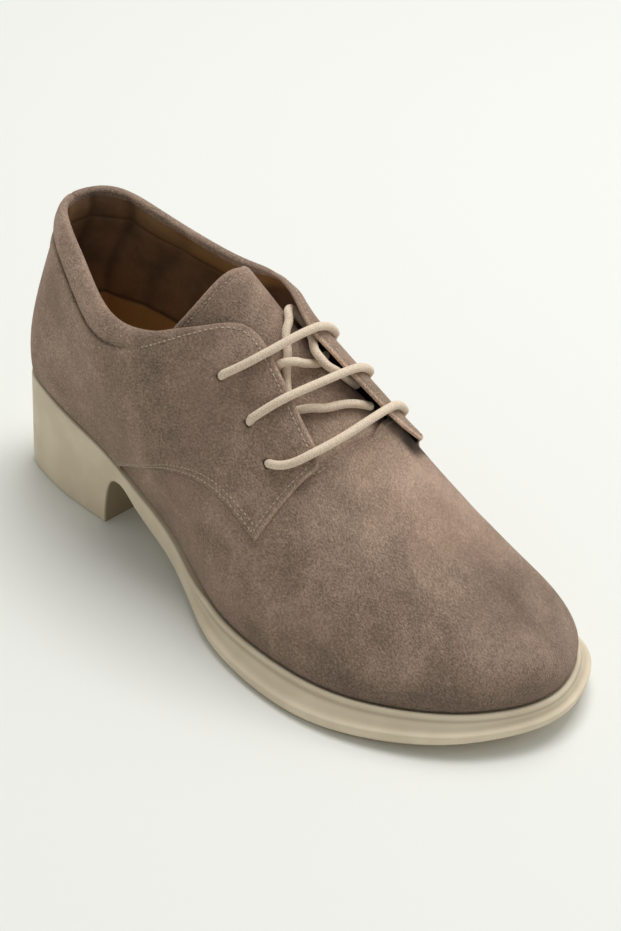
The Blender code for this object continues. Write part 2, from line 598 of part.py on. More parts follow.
def quarter_places(along, across):
    """Grid of (station, height) over both quarters, from the inner flap round to the outer."""
    share = np.linspace(0.0, 1.0, across)
    marks = np.linspace(0.0, 1.0, len(QUARTER_TOP_OUTER))
    sides = []
    for tops, lows in ((QUARTER_TOP_INNER, QUARTER_LOW_INNER), (QUARTER_TOP_OUTER, QUARTER_LOW_OUTER)):
        top = spline(marks, tops, along)
        low = spline(marks, lows, along)
        top[:, 1] = np.minimum(top[:, 1], 1.0)
        low[:, 1] = np.maximum(low[:, 1], 0.0)
        low[along < 0.46, 1] = 0.0
        sides.append(low[:, None, :] + share[None, :, None] * (top - low)[:, None, :])
    inner, outer = sides
    u = np.concatenate([AROUND - inner[:0:-1, :, 0], outer[:, :, 0]])
    h = np.concatenate([inner[:0:-1, :, 1], outer[:, :, 1]])
    a = np.concatenate([-along[:0:-1], along])[:, None] * np.ones(across)
    b = np.ones((len(a), 1)) * share[None, :]
    return u, h, a, b


def quarter_rise(u, a, b):
    """How far the quarters' outer face stands off the last."""
    count, _ = fold(u)
    step = SEAM_STEP * smooth_step(2.8, 4.6, count)
    front = np.where(a < 0.0, smooth_step(0.40, 0.62, -a), smooth_step(0.52, 0.72, a))
    lift = np.where(a < 0.0, INNER_FLAP_LIFT, OUTER_FLAP_LIFT)
    return step + lift * front * smooth_step(0.50, 1.0, b)


def quarter_wall(a, b):
    """Thickness of the quarters: padded towards the collar, plain at the flaps."""
    padded = smooth_step(0.66, 0.90, b) * (1.0 - smooth_step(0.36, 0.50, np.abs(a)))
    return UPPER_WALL + (COLLAR_WALL - UPPER_WALL) * padded


def build_quarters():
    """Back of the upper: one shell from flap to flap round the heel, over the vamp's wings."""
    along = np.concatenate([np.linspace(0.0, 0.40, 11), np.linspace(0.43, 1.0, 19)])
    u, h, a, b = quarter_places(along, 12)
    rise = quarter_rise(u, a, b)
    low_edge = np.where(b == 0.0, 0.12 * MM, 0.0)[..., None] * np.array([0.0, 0.0, 1.0])
    outer = offset(u, h, rise) + low_edge
    inner = offset(u, h, rise - quarter_wall(a, b)) + low_edge
    keys = np.arange(u.size).reshape(u.shape)
    points, faces = shell_from_grids(outer, inner, keys)
    return add_mesh("upper", points, faces, (0.21, 0.16, 0.13), 0.9)


def eyelet_axis(place, side):
    """Point on the last, outward direction, and how far out the flap's outer face is there.

    Side is 1 for the inner flap and -1 for the outer."""
    station, height = place
    u = np.array(AROUND - station if side > 0 else station)
    h = np.array(height)
    grid_u, grid_h, a, b = quarter_places(np.linspace(0.0, 1.0, 141), 61)
    far = np.abs(grid_u - u) + 4.0 * np.abs(grid_h - h)
    near = np.unravel_index(np.argmin(far), far.shape)
    rise = quarter_rise(grid_u, a, b)[near]
    return last(u, h), last_normal(u, h), rise


def build_eyelet_cutters():
    """Six short pins through the flaps, in one object."""
    edit = bmesh.new()
    for side, places in ((-1.0, EYELETS_OUTER), (1.0, EYELETS_INNER)):
        for place in places:
            centre, axis, rise = eyelet_axis(place, side)
            first = np.cross(axis, [0.0, 0.0, 1.0])
            first = first / np.linalg.norm(first)
            second = np.cross(axis, first)
            rings = []
            for along in (rise - UPPER_WALL - 2.0 * MM, rise + 3.0 * MM):
                ring = []
                for k in range(16):
                    turn = 2.0 * math.pi * k / 16
                    spoke = math.cos(turn) * first + math.sin(turn) * second
                    ring.append(edit.verts.new(centre + along * axis + 0.5 * EYELET_DIAMETER * spoke))
                rings.append(ring)
            for k in range(16):
                after = (k + 1) % 16
                edit.faces.new([rings[0][k], rings[0][after], rings[1][after], rings[1][k]])
            edit.faces.new(rings[0][::-1])
            edit.faces.new(rings[1])
    bmesh.ops.recalc_face_normals(edit, faces=edit.faces)
    mesh = bpy.data.meshes.new("eyelet_pins")
    edit.to_mesh(mesh)
    edit.free()
    piece = bpy.data.objects.new("eyelet_pins", mesh)
    bpy.context.scene.collection.objects.link(piece)
    return piece


def build_upper():
    """Quarters united with the vamp, then pierced by the eyelets."""
    upper = build_quarters()
    vamp = build_vamp()
    pins = build_eyelet_cutters()
    for tool in (vamp, pins):
        make_cutter(tool)
    add_boolean(upper, vamp, "UNION")
    add_boolean(upper, pins, "DIFFERENCE")
    return upper


def build_tongue():
    """Tongue: follows the closed sections of the last, inside vamp and flaps."""
    along = np.concatenate([np.linspace(TONGUE_BACK, 9.3, 12), np.linspace(9.5, TONGUE_FRONT, 4)])
    rows = 8
    share = np.linspace(0.0, 1.0, rows)
    low = TONGUE_LOW_H + 0.12 * smooth_step(9.0, TONGUE_FRONT, along)
    h = low[:, None] + (1.0 - low[:, None]) * share[None, :]
    free = 1.0 - smooth_step(TONGUE_BACK, 8.4, along)[:, None]
    u = along[:, None] - TONGUE_ROUND * free * (1.0 - h) ** 2
    level = UPPER_WALL + GAP - SEAM_STEP + TONGUE_CLEAR
    level = level - TONGUE_RISE * free * smooth_step(0.3, 0.9, share)
    under_vamp = smooth_step(8.7, 9.2, u)
    depth = level + (UPPER_WALL + GAP + TONGUE_UNDER - level) * under_vamp
    depth = depth + TONGUE_TUCK * free * (1.0 - share[None, :])
    u_all = np.hstack([u, AROUND - u[:, -2::-1]])
    h_all = np.hstack([h, h[:, -2::-1]])
    depth_all = np.hstack([depth, depth[:, -2::-1]])
    base = last(u_all, h_all, all_ridge=True)
    normal = np.cross(np.gradient(base, axis=0), np.gradient(base, axis=1))
    normal = normal / np.linalg.norm(normal, axis=-1, keepdims=True)
    outer = base - depth_all[..., None] * normal
    inner = outer - TONGUE_THICKNESS * normal
    keys = np.arange(u_all.size).reshape(u_all.shape)
    points, faces = shell_from_grids(outer, inner, keys)
    return add_mesh("tongue", points, faces, (0.23, 0.175, 0.14), 0.9)


def strand_points(rows, over_flaps):
    """Points of a lace strand from its (station, height, distance above the last) rows.

    Over the flaps they follow the upper's surface, and otherwise the tongue's."""
    rows = np.array(rows)
    u = np.where(rows[:, 0] < 0.0, AROUND + rows[:, 0], rows[:, 0])
    return offset(u, rows[:, 1], rows[:, 2] * MM, all_ridge=not over_flaps)


def eyelet_points(place, side):
    """Ends of a bar in an eyelet: flush with the flap's inner face, then straight out of it."""
    centre, axis, rise = eyelet_axis(place, side)
    levels = (rise - UPPER_WALL, rise - 0.2 * MM, rise + 1.1 * MM)
    return np.array([centre + level * axis for level in levels])


def build_strand(name, points):
    """Round lace through the points, as a curve with filled ends."""
    points = np.asarray(points)
    run = np.concatenate([[0.0], np.cumsum(np.linalg.norm(np.diff(points, axis=0), axis=1))])
    share = np.arange(len(points) - 1)[:, None] + np.array([0.0, 0.5])[None, :]
    places = np.interp(np.append(share.ravel(), len(points) - 1.0), np.arange(len(points)), run)
    path = spline(run, points, places)
    curve = bpy.data.curves.new(name, "CURVE")
    curve.dimensions = "3D"
    curve.bevel_depth = 0.5 * LACE_DIAMETER
    curve.bevel_resolution = 2
    curve.use_fill_caps = True
    line = curve.splines.new("POLY")
    line.points.add(len(path) - 1)
    for point, place in zip(line.points, path):
        point.co = (*place, 1.0)
    line.use_smooth = True
    piece = bpy.data.objects.new(name, curve)
    bpy.context.scene.collection.objects.link(piece)
    curve.materials.append(make_material(name, (0.66, 0.56, 0.44), 0.85))
    return piece


def build_laces():
    """Three bars through the eyelets, two strands under them, and two loose strands."""
    for k, rows in enumerate(BAR_ROWS):
        start = eyelet_points(EYELETS_OUTER[k], -1.0)
        end = eyelet_points(EYELETS_INNER[k], 1.0)[::-1]
        build_strand(f"lace_bar_{k + 1}", np.vstack([start, strand_points(rows, True), end]))
    for k, rows in enumerate(UNDER_ROWS):
        build_strand(f"lace_under_{k + 1}", strand_points(rows, False))
    build_strand("lace_loop", strand_points(LOOP_ROWS, False))
    build_strand("lace_end", strand_points(END_ROWS, False))


def build_all():
    """Builds every piece of the shoe."""
    for piece in list(bpy.data.objects):
        bpy.data.objects.remove(piece, do_unlink=True)
    build_outsole()
    build_insole()
    build_upper()
    build_tongue()
    build_laces()


build_all()
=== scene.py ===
# Looks of the lace-up heel: the right shoe of a pair, a three-eyelet derby in taupe faux suede on a
# moulded beige sole with a block heel. Metres, +Z up, +X to the toe, +Y to the inner side. The last
# is the same surface over station u and height h as in the part's own source, so every visible
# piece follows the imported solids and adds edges, stitches, seams, soft creases and laces to them.

import math
from types import SimpleNamespace

import bpy
import numpy as np
from mathutils import Matrix


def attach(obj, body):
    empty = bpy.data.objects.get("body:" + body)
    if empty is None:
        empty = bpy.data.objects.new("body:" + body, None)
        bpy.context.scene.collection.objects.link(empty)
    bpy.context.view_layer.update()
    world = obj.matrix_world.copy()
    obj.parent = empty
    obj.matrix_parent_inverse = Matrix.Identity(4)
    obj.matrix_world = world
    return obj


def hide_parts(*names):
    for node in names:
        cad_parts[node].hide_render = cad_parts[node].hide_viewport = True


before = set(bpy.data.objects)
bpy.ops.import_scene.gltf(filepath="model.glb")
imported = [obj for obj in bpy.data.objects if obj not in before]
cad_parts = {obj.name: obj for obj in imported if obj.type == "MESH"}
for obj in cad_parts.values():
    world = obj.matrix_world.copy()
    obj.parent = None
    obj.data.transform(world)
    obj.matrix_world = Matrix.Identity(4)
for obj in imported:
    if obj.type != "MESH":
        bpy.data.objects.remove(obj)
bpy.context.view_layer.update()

MM = 0.001

# The camera stands where the photo's camera stood, turned to the one shoe and with a longer lens.
CAMERA_PLACE = (0.48700, -0.43640, 0.46006)
CAMERA_RIGHT = (0.72793, 0.68340, 0.05551)
CAMERA_UP = (-0.42542, 0.38668, 0.81823)
CAMERA_LENS = 79.15            # mm, on a 36 mm sensor along the picture's long side


def stand_at(piece, right, up, place):
    """Puts a camera or lamp at a place, looking away from right cross up."""
    back = np.cross(right, up)
    rows = [[*(float(axis[k]) for axis in (right, up, back)), float(place[k])] for k in range(3)]
    piece.matrix_world = Matrix(rows + [[0.0, 0.0, 0.0, 1.0]])


def make_camera():
    """The photo's camera, from its place and its right and up directions."""
    lens = bpy.data.cameras.new("photo_camera")
    lens.sensor_width = 36.0
    lens.lens = CAMERA_LENS
    lens.clip_start = 0.02
    lens.clip_end = 20.0
    piece = bpy.data.objects.new("photo_camera", lens)
    bpy.context.scene.collection.objects.link(piece)
    right = np.array(CAMERA_RIGHT) / np.linalg.norm(CAMERA_RIGHT)
    up = np.array(CAMERA_UP) - np.dot(CAMERA_UP, right) * right
    stand_at(piece, right, up / np.linalg.norm(up), CAMERA_PLACE)
    bpy.context.scene.camera = piece


make_camera()

# Driving sizes
SOLE_LENGTH = 248.0 * MM       # back of the heel to the tip of the welt
HEEL_HEIGHT = 41.0 * MM        # floor to feather line at the back
BACK_HEIGHT = 70.0 * MM        # feather line to collar at the back
BALL_WIDTH = 86.0 * MM         # upper across the ball, at the feather line
HEEL_LENGTH = 56.0 * MM        # flat bottom of the block heel
UPPER_WALL = 1.8 * MM
SEAM_STEP = 1.2 * MM           # how far the quarters stand above the vamp
GAP = 0.45 * MM                # clearance between curved pieces
INSOLE_THICKNESS = 2.4 * MM
TONGUE_THICKNESS = 2.2 * MM
LACE_DIAMETER = 3.0 * MM
EYELET_DIAMETER = 4.6 * MM
WELT_WIDTH = 8.0 * MM          # widest part of the welt, beside the ball
TOE_SPRING = 7.4 * MM          # sole bottom above the floor at the tip

STATIONS = 14                  # from the back of the heel to the toe
TOE = float(STATIONS)
AROUND = 2.0 * STATIONS        # once round the feather line
HEEL_BACK_X = -0.5 * HEEL_LENGTH
BREAST_X = 0.5 * HEEL_LENGTH
HALF_BALL = 0.5 * BALL_WIDTH

# Feather line. Rows are stations 0 to 14. Columns: distance from the back as a share of
# SOLE_LENGTH, outer and inner reach as shares of HALF_BALL, height as a share of HEEL_HEIGHT.
FEATHER_ROWS = np.array([
    (0.001, 0.000, 0.000, 1.000),
    (0.019, 0.293, 0.275, 0.990),
    (0.063, 0.423, 0.409, 0.973),
    (0.135, 0.495, 0.488, 0.907),
    (0.222, 0.502, 0.498, 0.783),
    (0.298, 0.535, 0.488, 0.624),
    (0.382, 0.612, 0.512, 0.473),
    (0.463, 0.767, 0.605, 0.354),
    (0.544, 0.926, 0.767, 0.276),
    (0.637, 0.984, 0.942, 0.244),
    (0.726, 0.972, 1.028, 0.256),
    (0.804, 0.860, 1.014, 0.288),
    (0.879, 0.628, 0.945, 0.327),
    (0.938, 0.307, 0.745, 0.361),
    (0.974, -0.200, 0.200, 0.385),
])

# Welt, as a share of WELT_WIDTH beyond the feather line. Columns: outer, inner side.
WELT_ROWS = np.array([
    (0.06, 0.06), (0.06, 0.06), (0.06, 0.06), (0.10, 0.10), (0.19, 0.19), (0.21, 0.20),
    (0.23, 0.21), (0.39, 0.33), (0.68, 0.55), (0.96, 0.83), (1.00, 1.00), (0.88, 1.00),
    (0.78, 0.92), (0.65, 0.80), (0.60, 0.60),
])

# Lower edge of the sole's side and its bottom. Columns: distance from the back as a share of
# SOLE_LENGTH, both heights as shares of HEEL_HEIGHT. In front of the breast the waist arches up.
SOLE_ROWS = np.array([
    (0.246, 0.570, 0.525),
    (0.262, 0.552, 0.532),
    (0.298, 0.432, 0.415),
    (0.383, 0.236, 0.212),
    (0.460, 0.116, 0.088),
    (0.536, 0.046, 0.014),
    (0.590, 0.030, 0.000),
    (0.760, 0.032, 0.000),
    (0.840, 0.078, 0.035),
    (0.920, 0.140, 0.105),
    (0.976, 0.190, 0.160),
    (1.000, 0.200, TOE_SPRING / HEEL_HEIGHT),
])

# Collar line. Rows run from station 0 to 8. Columns: distance from the back as a share of
# SOLE_LENGTH, reach to the side as a share of HALF_BALL, height as a share of BACK_HEIGHT.
COLLAR_OUTER = np.array([
    (0.050, 0.000, 1.022), (0.066, 0.205, 1.014), (0.102, 0.352, 0.985), (0.155, 0.453, 0.886),
    (0.222, 0.558, 0.757), (0.290, 0.593, 0.736), (0.363, 0.570, 0.829), (0.435, 0.488, 0.964),
    (0.492, 0.349, 1.029),
])
COLLAR_INNER = np.array([
    (0.050, 0.000, 1.022), (0.064, 0.214, 1.038), (0.100, 0.357, 1.040), (0.153, 0.465, 0.985),
    (0.222, 0.549, 0.908), (0.290, 0.574, 0.884), (0.363, 0.523, 0.930), (0.435, 0.412, 1.005),
    (0.492, 0.288, 1.043),
])

# Ridge over the foot. Columns: distance from the back as a share of SOLE_LENGTH, place across
# as a share of HALF_BALL, height as a share of BACK_HEIGHT above the feather line at the back.
RIDGE_ROWS = np.array([
    (0.270, -0.015, 1.400), (0.340, -0.005, 1.268), (0.403, 0.020, 1.130), (0.468, 0.047, 0.975),
    (0.516, 0.070, 0.855), (0.556, 0.093, 0.745), (0.597, 0.120, 0.632), (0.637, 0.151, 0.518),
    (0.677, 0.182, 0.408), (0.726, 0.211, 0.284), (0.786, 0.222, 0.146), (0.843, 0.210, 0.040),
    (0.879, 0.186, -0.020),
])
# Where the ridge is met by stations 4 to 14, as a share of SOLE_LENGTH
RIDGE_MEETS = np.array([0.293, 0.347, 0.403, 0.460, 0.520, 0.593, 0.669, 0.742, 0.798, 0.833, 0.843])
COLLAR_ENDS = 5.6              # station where the collar line starts to climb to the ridge
RIDGE_STARTS = 8.0             # station from which the top of each section is the ridge

# Fullness of each section, in the handles of its curve, as shares of BALL_WIDTH. Rows are
# stations 0 to 14. Columns: swell at the foot and its height on the outer side, the same on
# the inner side, then the swell and drop at the collar, and the reach over the ridge.
FULLNESS = np.array([
    (0.037, 0.256, 0.037, 0.256, 0.041, 0.256, 0.233, 0.233),
    (0.040, 0.256, 0.040, 0.256, 0.047, 0.256, 0.233, 0.233),
    (0.042, 0.256, 0.042, 0.256, 0.064, 0.256, 0.233, 0.233),
    (0.041, 0.256, 0.041, 0.256, 0.093, 0.233, 0.233, 0.233),
    (0.047, 0.256, 0.047, 0.256, 0.105, 0.221, 0.233, 0.233),
    (0.070, 0.279, 0.070, 0.279, 0.116, 0.233, 0.233, 0.233),
    (0.081, 0.314, 0.081, 0.314, 0.116, 0.279, 0.233, 0.233),
    (0.087, 0.326, 0.087, 0.326, 0.116, 0.302, 0.233, 0.233),
    (0.076, 0.314, 0.076, 0.314, 0.116, 0.302, 0.256, 0.256),
    (0.058, 0.291, 0.057, 0.283, 0.116, 0.302, 0.302, 0.287),
    (0.047, 0.256, 0.044, 0.227, 0.116, 0.302, 0.314, 0.261),
    (0.041, 0.209, 0.037, 0.174, 0.116, 0.302, 0.326, 0.274),
    (0.040, 0.176, 0.038, 0.165, 0.116, 0.302, 0.314, 0.274),
    (0.043, 0.172, 0.040, 0.163, 0.116, 0.302, 0.279, 0.270),
    (0.045, 0.176, 0.045, 0.176, 0.116, 0.302, 0.256, 0.256),
])

# Quarters, drawn on the last as (station, height) from the heel to the front of the flap.
# Upper edge: collar, then the facing down to the flap's front corner. Lower edge: feather
# line, then the seam over the vamp up to the flap's front tip.
QUARTER_TOP_OUTER = np.array([
    (0.0, 1.000), (1.3, 1.000), (2.6, 1.000), (3.9, 1.000), (5.1, 1.000), (5.9, 0.985),
    (6.45, 0.932), (6.95, 0.900), (7.40, 0.855), (7.80, 0.815), (8.20, 0.795), (8.65, 0.769),
    (9.07, 0.742), (9.22, 0.706),
])
QUARTER_TOP_INNER = np.array([
    (0.0, 1.000), (1.3, 1.000), (2.6, 1.000), (3.9, 1.000), (5.1, 1.000), (5.9, 0.998),
    (6.45, 0.996), (6.95, 0.990), (7.40, 0.982), (7.85, 0.970), (8.35, 0.950), (8.95, 0.922),
    (9.55, 0.866), (9.82, 0.790),
])
QUARTER_LOW_OUTER = np.array([
    (0.0, 0.000), (0.8, 0.000), (1.6, 0.000), (2.4, 0.000), (3.2, 0.000), (4.0, 0.000),
    (4.50, 0.030), (4.95, 0.140), (5.45, 0.250), (6.00, 0.332), (6.70, 0.356), (7.45, 0.372),
    (8.10, 0.384), (8.60, 0.375),
])
QUARTER_LOW_INNER = np.array([
    (0.0, 0.000), (0.8, 0.000), (1.6, 0.000), (2.4, 0.000), (3.2, 0.000), (4.0, 0.000),
    (4.50, 0.030), (4.95, 0.140), (5.45, 0.250), (6.00, 0.332), (6.75, 0.362), (7.60, 0.385),
    (8.40, 0.402), (9.05, 0.400),
])

# Rear edge of the vamp as (station, height), the same on both sides. Its long wings are hidden
# under the quarters, and between the flaps it meets the ridge at the throat.
VAMP_REAR = np.array([
    (4.00, 0.080), (4.50, 0.160), (5.05, 0.270), (5.60, 0.380), (6.20, 0.430), (7.00, 0.455),
    (7.80, 0.490), (8.30, 0.540), (8.70, 0.600), (9.00, 0.655), (9.25, 0.720), (9.40, 0.810),
    (9.50, 0.905), (9.60, 1.000),
])
THROAT = 9.6                   # station whose section meets the ridge at the throat
VAMP_LEAN = 0.6                # stations by which columns under the throat lean forward

# Eyelets on the outer and inner flap as (station, height), from the top one down
EYELETS_OUTER = np.array([(7.15, 0.680), (7.95, 0.615), (8.47, 0.583)])
EYELETS_INNER = np.array([(8.03, 0.795), (8.74, 0.775), (9.30, 0.715)])

# Lace strands as (station, height, distance above the last in mm). Minus stations are on the
# inner side. The bars also run down into an eyelet at each end. The others lie on the tongue
# and end under a flap.
BAR_ROWS = (
    ((7.34, 0.698, 4.9), (7.60, 0.765, 5.7), (7.76, 0.825, 6.3), (7.80, 0.900, 5.8),
     (7.81, 0.975, 6.6), (-7.86, 0.955, 8.0), (-7.93, 0.905, 8.3), (-8.01, 0.840, 7.0)),
    ((8.11, 0.667, 5.0), (8.22, 0.712, 5.5), (8.35, 0.781, 6.3), (8.50, 0.856, 5.4),
     (8.60, 0.938, 5.9), (-8.66, 0.965, 7.5), (-8.71, 0.900, 8.0), (-8.74, 0.828, 7.1)),
    ((8.64, 0.604, 4.4), (8.80, 0.632, 5.2), (8.98, 0.685, 6.1), (9.15, 0.760, 5.9),
     (9.28, 0.840, 5.2), (9.35, 0.925, 5.4), (-9.38, 0.965, 6.8), (-9.37, 0.885, 7.8),
     (-9.33, 0.775, 6.4)),
)
BAR_SLIDE = (0.8, 0.8, 0.15)   # how straight each bar is pulled across, from the top one down
UNDER_ROWS = (
    ((7.74, 0.755, -0.9), (7.83, 0.783, -0.7), (7.91, 0.803, -0.3), (7.98, 0.835, 2.2),
     (8.05, 0.859, 3.5), (8.11, 0.882, 3.0), (8.19, 0.920, 0.3), (8.25, 0.965, -1.1),
     (-8.30, 0.990, -1.2), (-8.31, 0.945, -1.2), (-8.27, 0.895, -1.2)),
    ((8.40, 0.740, -0.9), (8.55, 0.785, -1.1), (8.70, 0.838, -1.1), (8.85, 0.888, -1.0),
     (8.95, 0.950, -0.9), (-9.05, 0.981, -0.7), (-9.14, 0.930, -0.5), (-9.20, 0.885, -0.4)),
)
LOOP_ROWS = ((-7.52, 0.800, -0.6), (-7.32, 0.835, -0.4), (-7.22, 0.885, -0.2),
             (-7.28, 0.945, -0.2), (-7.42, 0.990, -0.4), (7.56, 0.965, -0.8),
             (7.80, 0.914, -1.1), (7.95, 0.885, -1.2), (8.05, 0.854, -1.2),
             (8.19, 0.815, -1.2), (8.32, 0.788, -1.1))
END_ROWS = ((-7.72, 0.860, -0.6), (-7.84, 0.905, -0.2), (-7.98, 0.955, 0.8),
            (8.12, 0.995, 2.0), (8.26, 0.988, 2.6), (8.40, 0.994, 2.6),
            (-8.55, 0.970, 1.8), (-8.66, 0.930, 0.6), (-8.75, 0.880, -0.6),
            (-8.80, 0.825, -1.1))

INNER_FLAP_LIFT = 4.0 * MM     # the inner flap's facing edge curls up off the tongue
OUTER_FLAP_LIFT = 2.8 * MM
COLLAR_WALL = 3.4 * MM         # the padded collar is thicker than the rest of the wall

TONGUE_FRONT = 10.1            # station where the tongue ends under the vamp
TONGUE_BACK = 6.0              # station of its free top edge on the ridge
TONGUE_ROUND = 4.4             # stations its top edge falls back by, per squared unit of height
TONGUE_LOW_H = 0.56            # section height of its side edges
TONGUE_CLEAR = 2.2 * MM        # room for the lace between tongue and flaps
TONGUE_UNDER = 0.35 * MM       # more than GAP between the tongue and the vamp over it
TONGUE_RISE = 1.3 * MM         # how much nearer the flaps the middle of its free part lies
TONGUE_TUCK = 1.8 * MM         # how much deeper the side edges of its free part lie
SOLE_INSET = 6.0 * MM          # how far the sole's top face reaches in under the upper
EDGE_ROUND = 0.6 * MM          # rounding of the sole's bottom edge
DISH_DEPTH = 0.5 * MM          # how far the footbed falls to its middle

# Working measures of the meshes
WELD_PITCH = 2e-6              # points closer than about this are one
RIM_STEPS = 6                  # steps of a shell's rounded rim, from outer to inner face
HOLE_REACH = 6.0 * MM          # how far along its axis a hole is cut
HOLE_INSIDE = 0.30 * MM        # points deeper than this in a hole are cut away
HOLE_OUTSIDE = 0.34 * MM       # points nearer than this outside it are drawn onto its rim
LACE_PITCH = 1.1 * MM          # step along a strand of lace
LACE_SIDES = 20
LACE_CLEAR = 0.05 * MM         # air between a bar and what it lies on
BAR_HELD = 3.6 * MM            # length of each bar's end that its eyelet holds
TAUT_ROUNDS = 120
CREASE_PITCH = 2.0 * MM        # step along a crease


def smooth_step(low, high, value):
    """Rises from 0 at low to 1 at high with level ends, as 3 squares less 2 cubes of the share."""
    share = np.clip((value - low) / (high - low), 0.0, 1.0)
    return share * share * (3.0 - 2.0 * share)


def spline(nodes, rows, where, closed=False):
    """Cubic spline through the rows at the nodes, with free ends or closed into a loop."""
    nodes = np.asarray(nodes, float)
    rows = np.asarray(rows, float)
    flat = rows.ndim == 1
    if flat:
        rows = rows[:, None]
    count = len(nodes)
    step = np.diff(nodes)
    matrix = np.zeros((count, count))
    right = np.zeros((count, rows.shape[1]))
    for i in range(1, count - 1):
        matrix[i, i - 1] = step[i - 1]
        matrix[i, i] = 2.0 * (step[i - 1] + step[i])
        matrix[i, i + 1] = step[i]
        right[i] = 6.0 * ((rows[i + 1] - rows[i]) / step[i] - (rows[i] - rows[i - 1]) / step[i - 1])
    matrix[0, 0] = 1.0
    matrix[-1, -1] = 1.0
    if closed:
        matrix[0, 0] = 2.0 * (step[0] + step[-1])
        matrix[0, 1] = step[0]
        matrix[0, -2] = step[-1]
        right[0] = 6.0 * ((rows[1] - rows[0]) / step[0] - (rows[0] - rows[-2]) / step[-1])
        matrix[-1, 0] = -1.0
    bend = np.linalg.solve(matrix, right)
    where = np.asarray(where, float)
    if closed:
        where = nodes[0] + np.mod(where - nodes[0], nodes[-1] - nodes[0])
    left = np.clip(np.searchsorted(nodes, where, side="right") - 1, 0, count - 2)
    a = ((nodes[left + 1] - where) / step[left])[..., None]
    b = ((where - nodes[left]) / step[left])[..., None]
    size = (step[left] ** 2)[..., None]
    found = a * rows[left] + b * rows[left + 1]
    found = found + ((a ** 3 - a) * bend[left] + (b ** 3 - b) * bend[left + 1]) * size / 6.0
    return found[..., 0] if flat else found


def from_back(share):
    """X of a place given as a share of the sole's length from the back."""
    return HEEL_BACK_X + share * SOLE_LENGTH


def feather_points():
    """The feather line's stations once round, as points."""
    x = from_back(FEATHER_ROWS[:, 0])
    z = FEATHER_ROWS[:, 3] * HEEL_HEIGHT
    outer = np.column_stack([x, -FEATHER_ROWS[:, 1] * HALF_BALL, z])
    inner = np.column_stack([x, FEATHER_ROWS[:, 2] * HALF_BALL, z])
    return np.vstack([outer, inner[-2::-1]])


def collar_points():
    """The collar's stations from inner 8 through the back to outer 8, as points."""
    sides = []
    for rows, sign in ((COLLAR_OUTER, -1.0), (COLLAR_INNER, 1.0)):
        z = HEEL_HEIGHT + rows[:, 2] * BACK_HEIGHT
        sides.append(np.column_stack([from_back(rows[:, 0]), sign * rows[:, 1] * HALF_BALL, z]))
    return np.vstack([sides[1][::-1], sides[0][1:]])


ROUND_NODES = np.arange(2 * STATIONS + 1.0)
FEATHER_POINTS = feather_points()
COLLAR_POINTS = collar_points()
COLLAR_NODES = np.arange(-8.0, 9.0)
RIDGE_X = from_back(RIDGE_ROWS[:, 0])
RIDGE_POINTS = np.column_stack([RIDGE_ROWS[:, 1] * HALF_BALL,
                                HEEL_HEIGHT + RIDGE_ROWS[:, 2] * BACK_HEIGHT])
RIDGE_NODES = np.arange(4.0, 25.0)
RIDGE_MEET_X = from_back(np.concatenate([RIDGE_MEETS, RIDGE_MEETS[-2::-1]]))
FOOT_SWELL = np.vstack([FULLNESS[:, 0:2], FULLNESS[-2::-1, 2:4]]) * BALL_WIDTH
COLLAR_SWELL = np.vstack([FULLNESS[8::-1, 4:6], FULLNESS[1:9, 4:6]]) * BALL_WIDTH
RIDGE_REACH = np.concatenate([FULLNESS[4:, 6], FULLNESS[-2:3:-1, 7]]) * BALL_WIDTH


def feather(u):
    """Point of the feather line at a station."""
    return spline(ROUND_NODES, FEATHER_POINTS, u, closed=True)


def outward(u):
    """Level unit vector out of the feather line, square to its run."""
    along = feather(u + 0.02) - feather(u - 0.02)
    side = np.stack([along[..., 1], -along[..., 0]], axis=-1)
    return side / np.linalg.norm(side, axis=-1, keepdims=True)


def fold(u):
    """Station counted from the back on either side, and whether it is the inner side."""
    u = np.mod(u, AROUND)
    inner = u > STATIONS
    return np.where(inner, AROUND - u, u), inner


def ridge(x):
    """Point of the ridge over the foot at x, and its tangent with unit run."""
    point = spline(RIDGE_X, RIDGE_POINTS, x)
    ahead = spline(RIDGE_X, RIDGE_POINTS, x + 0.5 * MM)
    behind = spline(RIDGE_X, RIDGE_POINTS, x - 0.5 * MM)
    slope = (ahead - behind) / MM
    place = np.concatenate([x[..., None], point], axis=-1)
    return place, np.concatenate([np.ones_like(x)[..., None], slope], axis=-1)


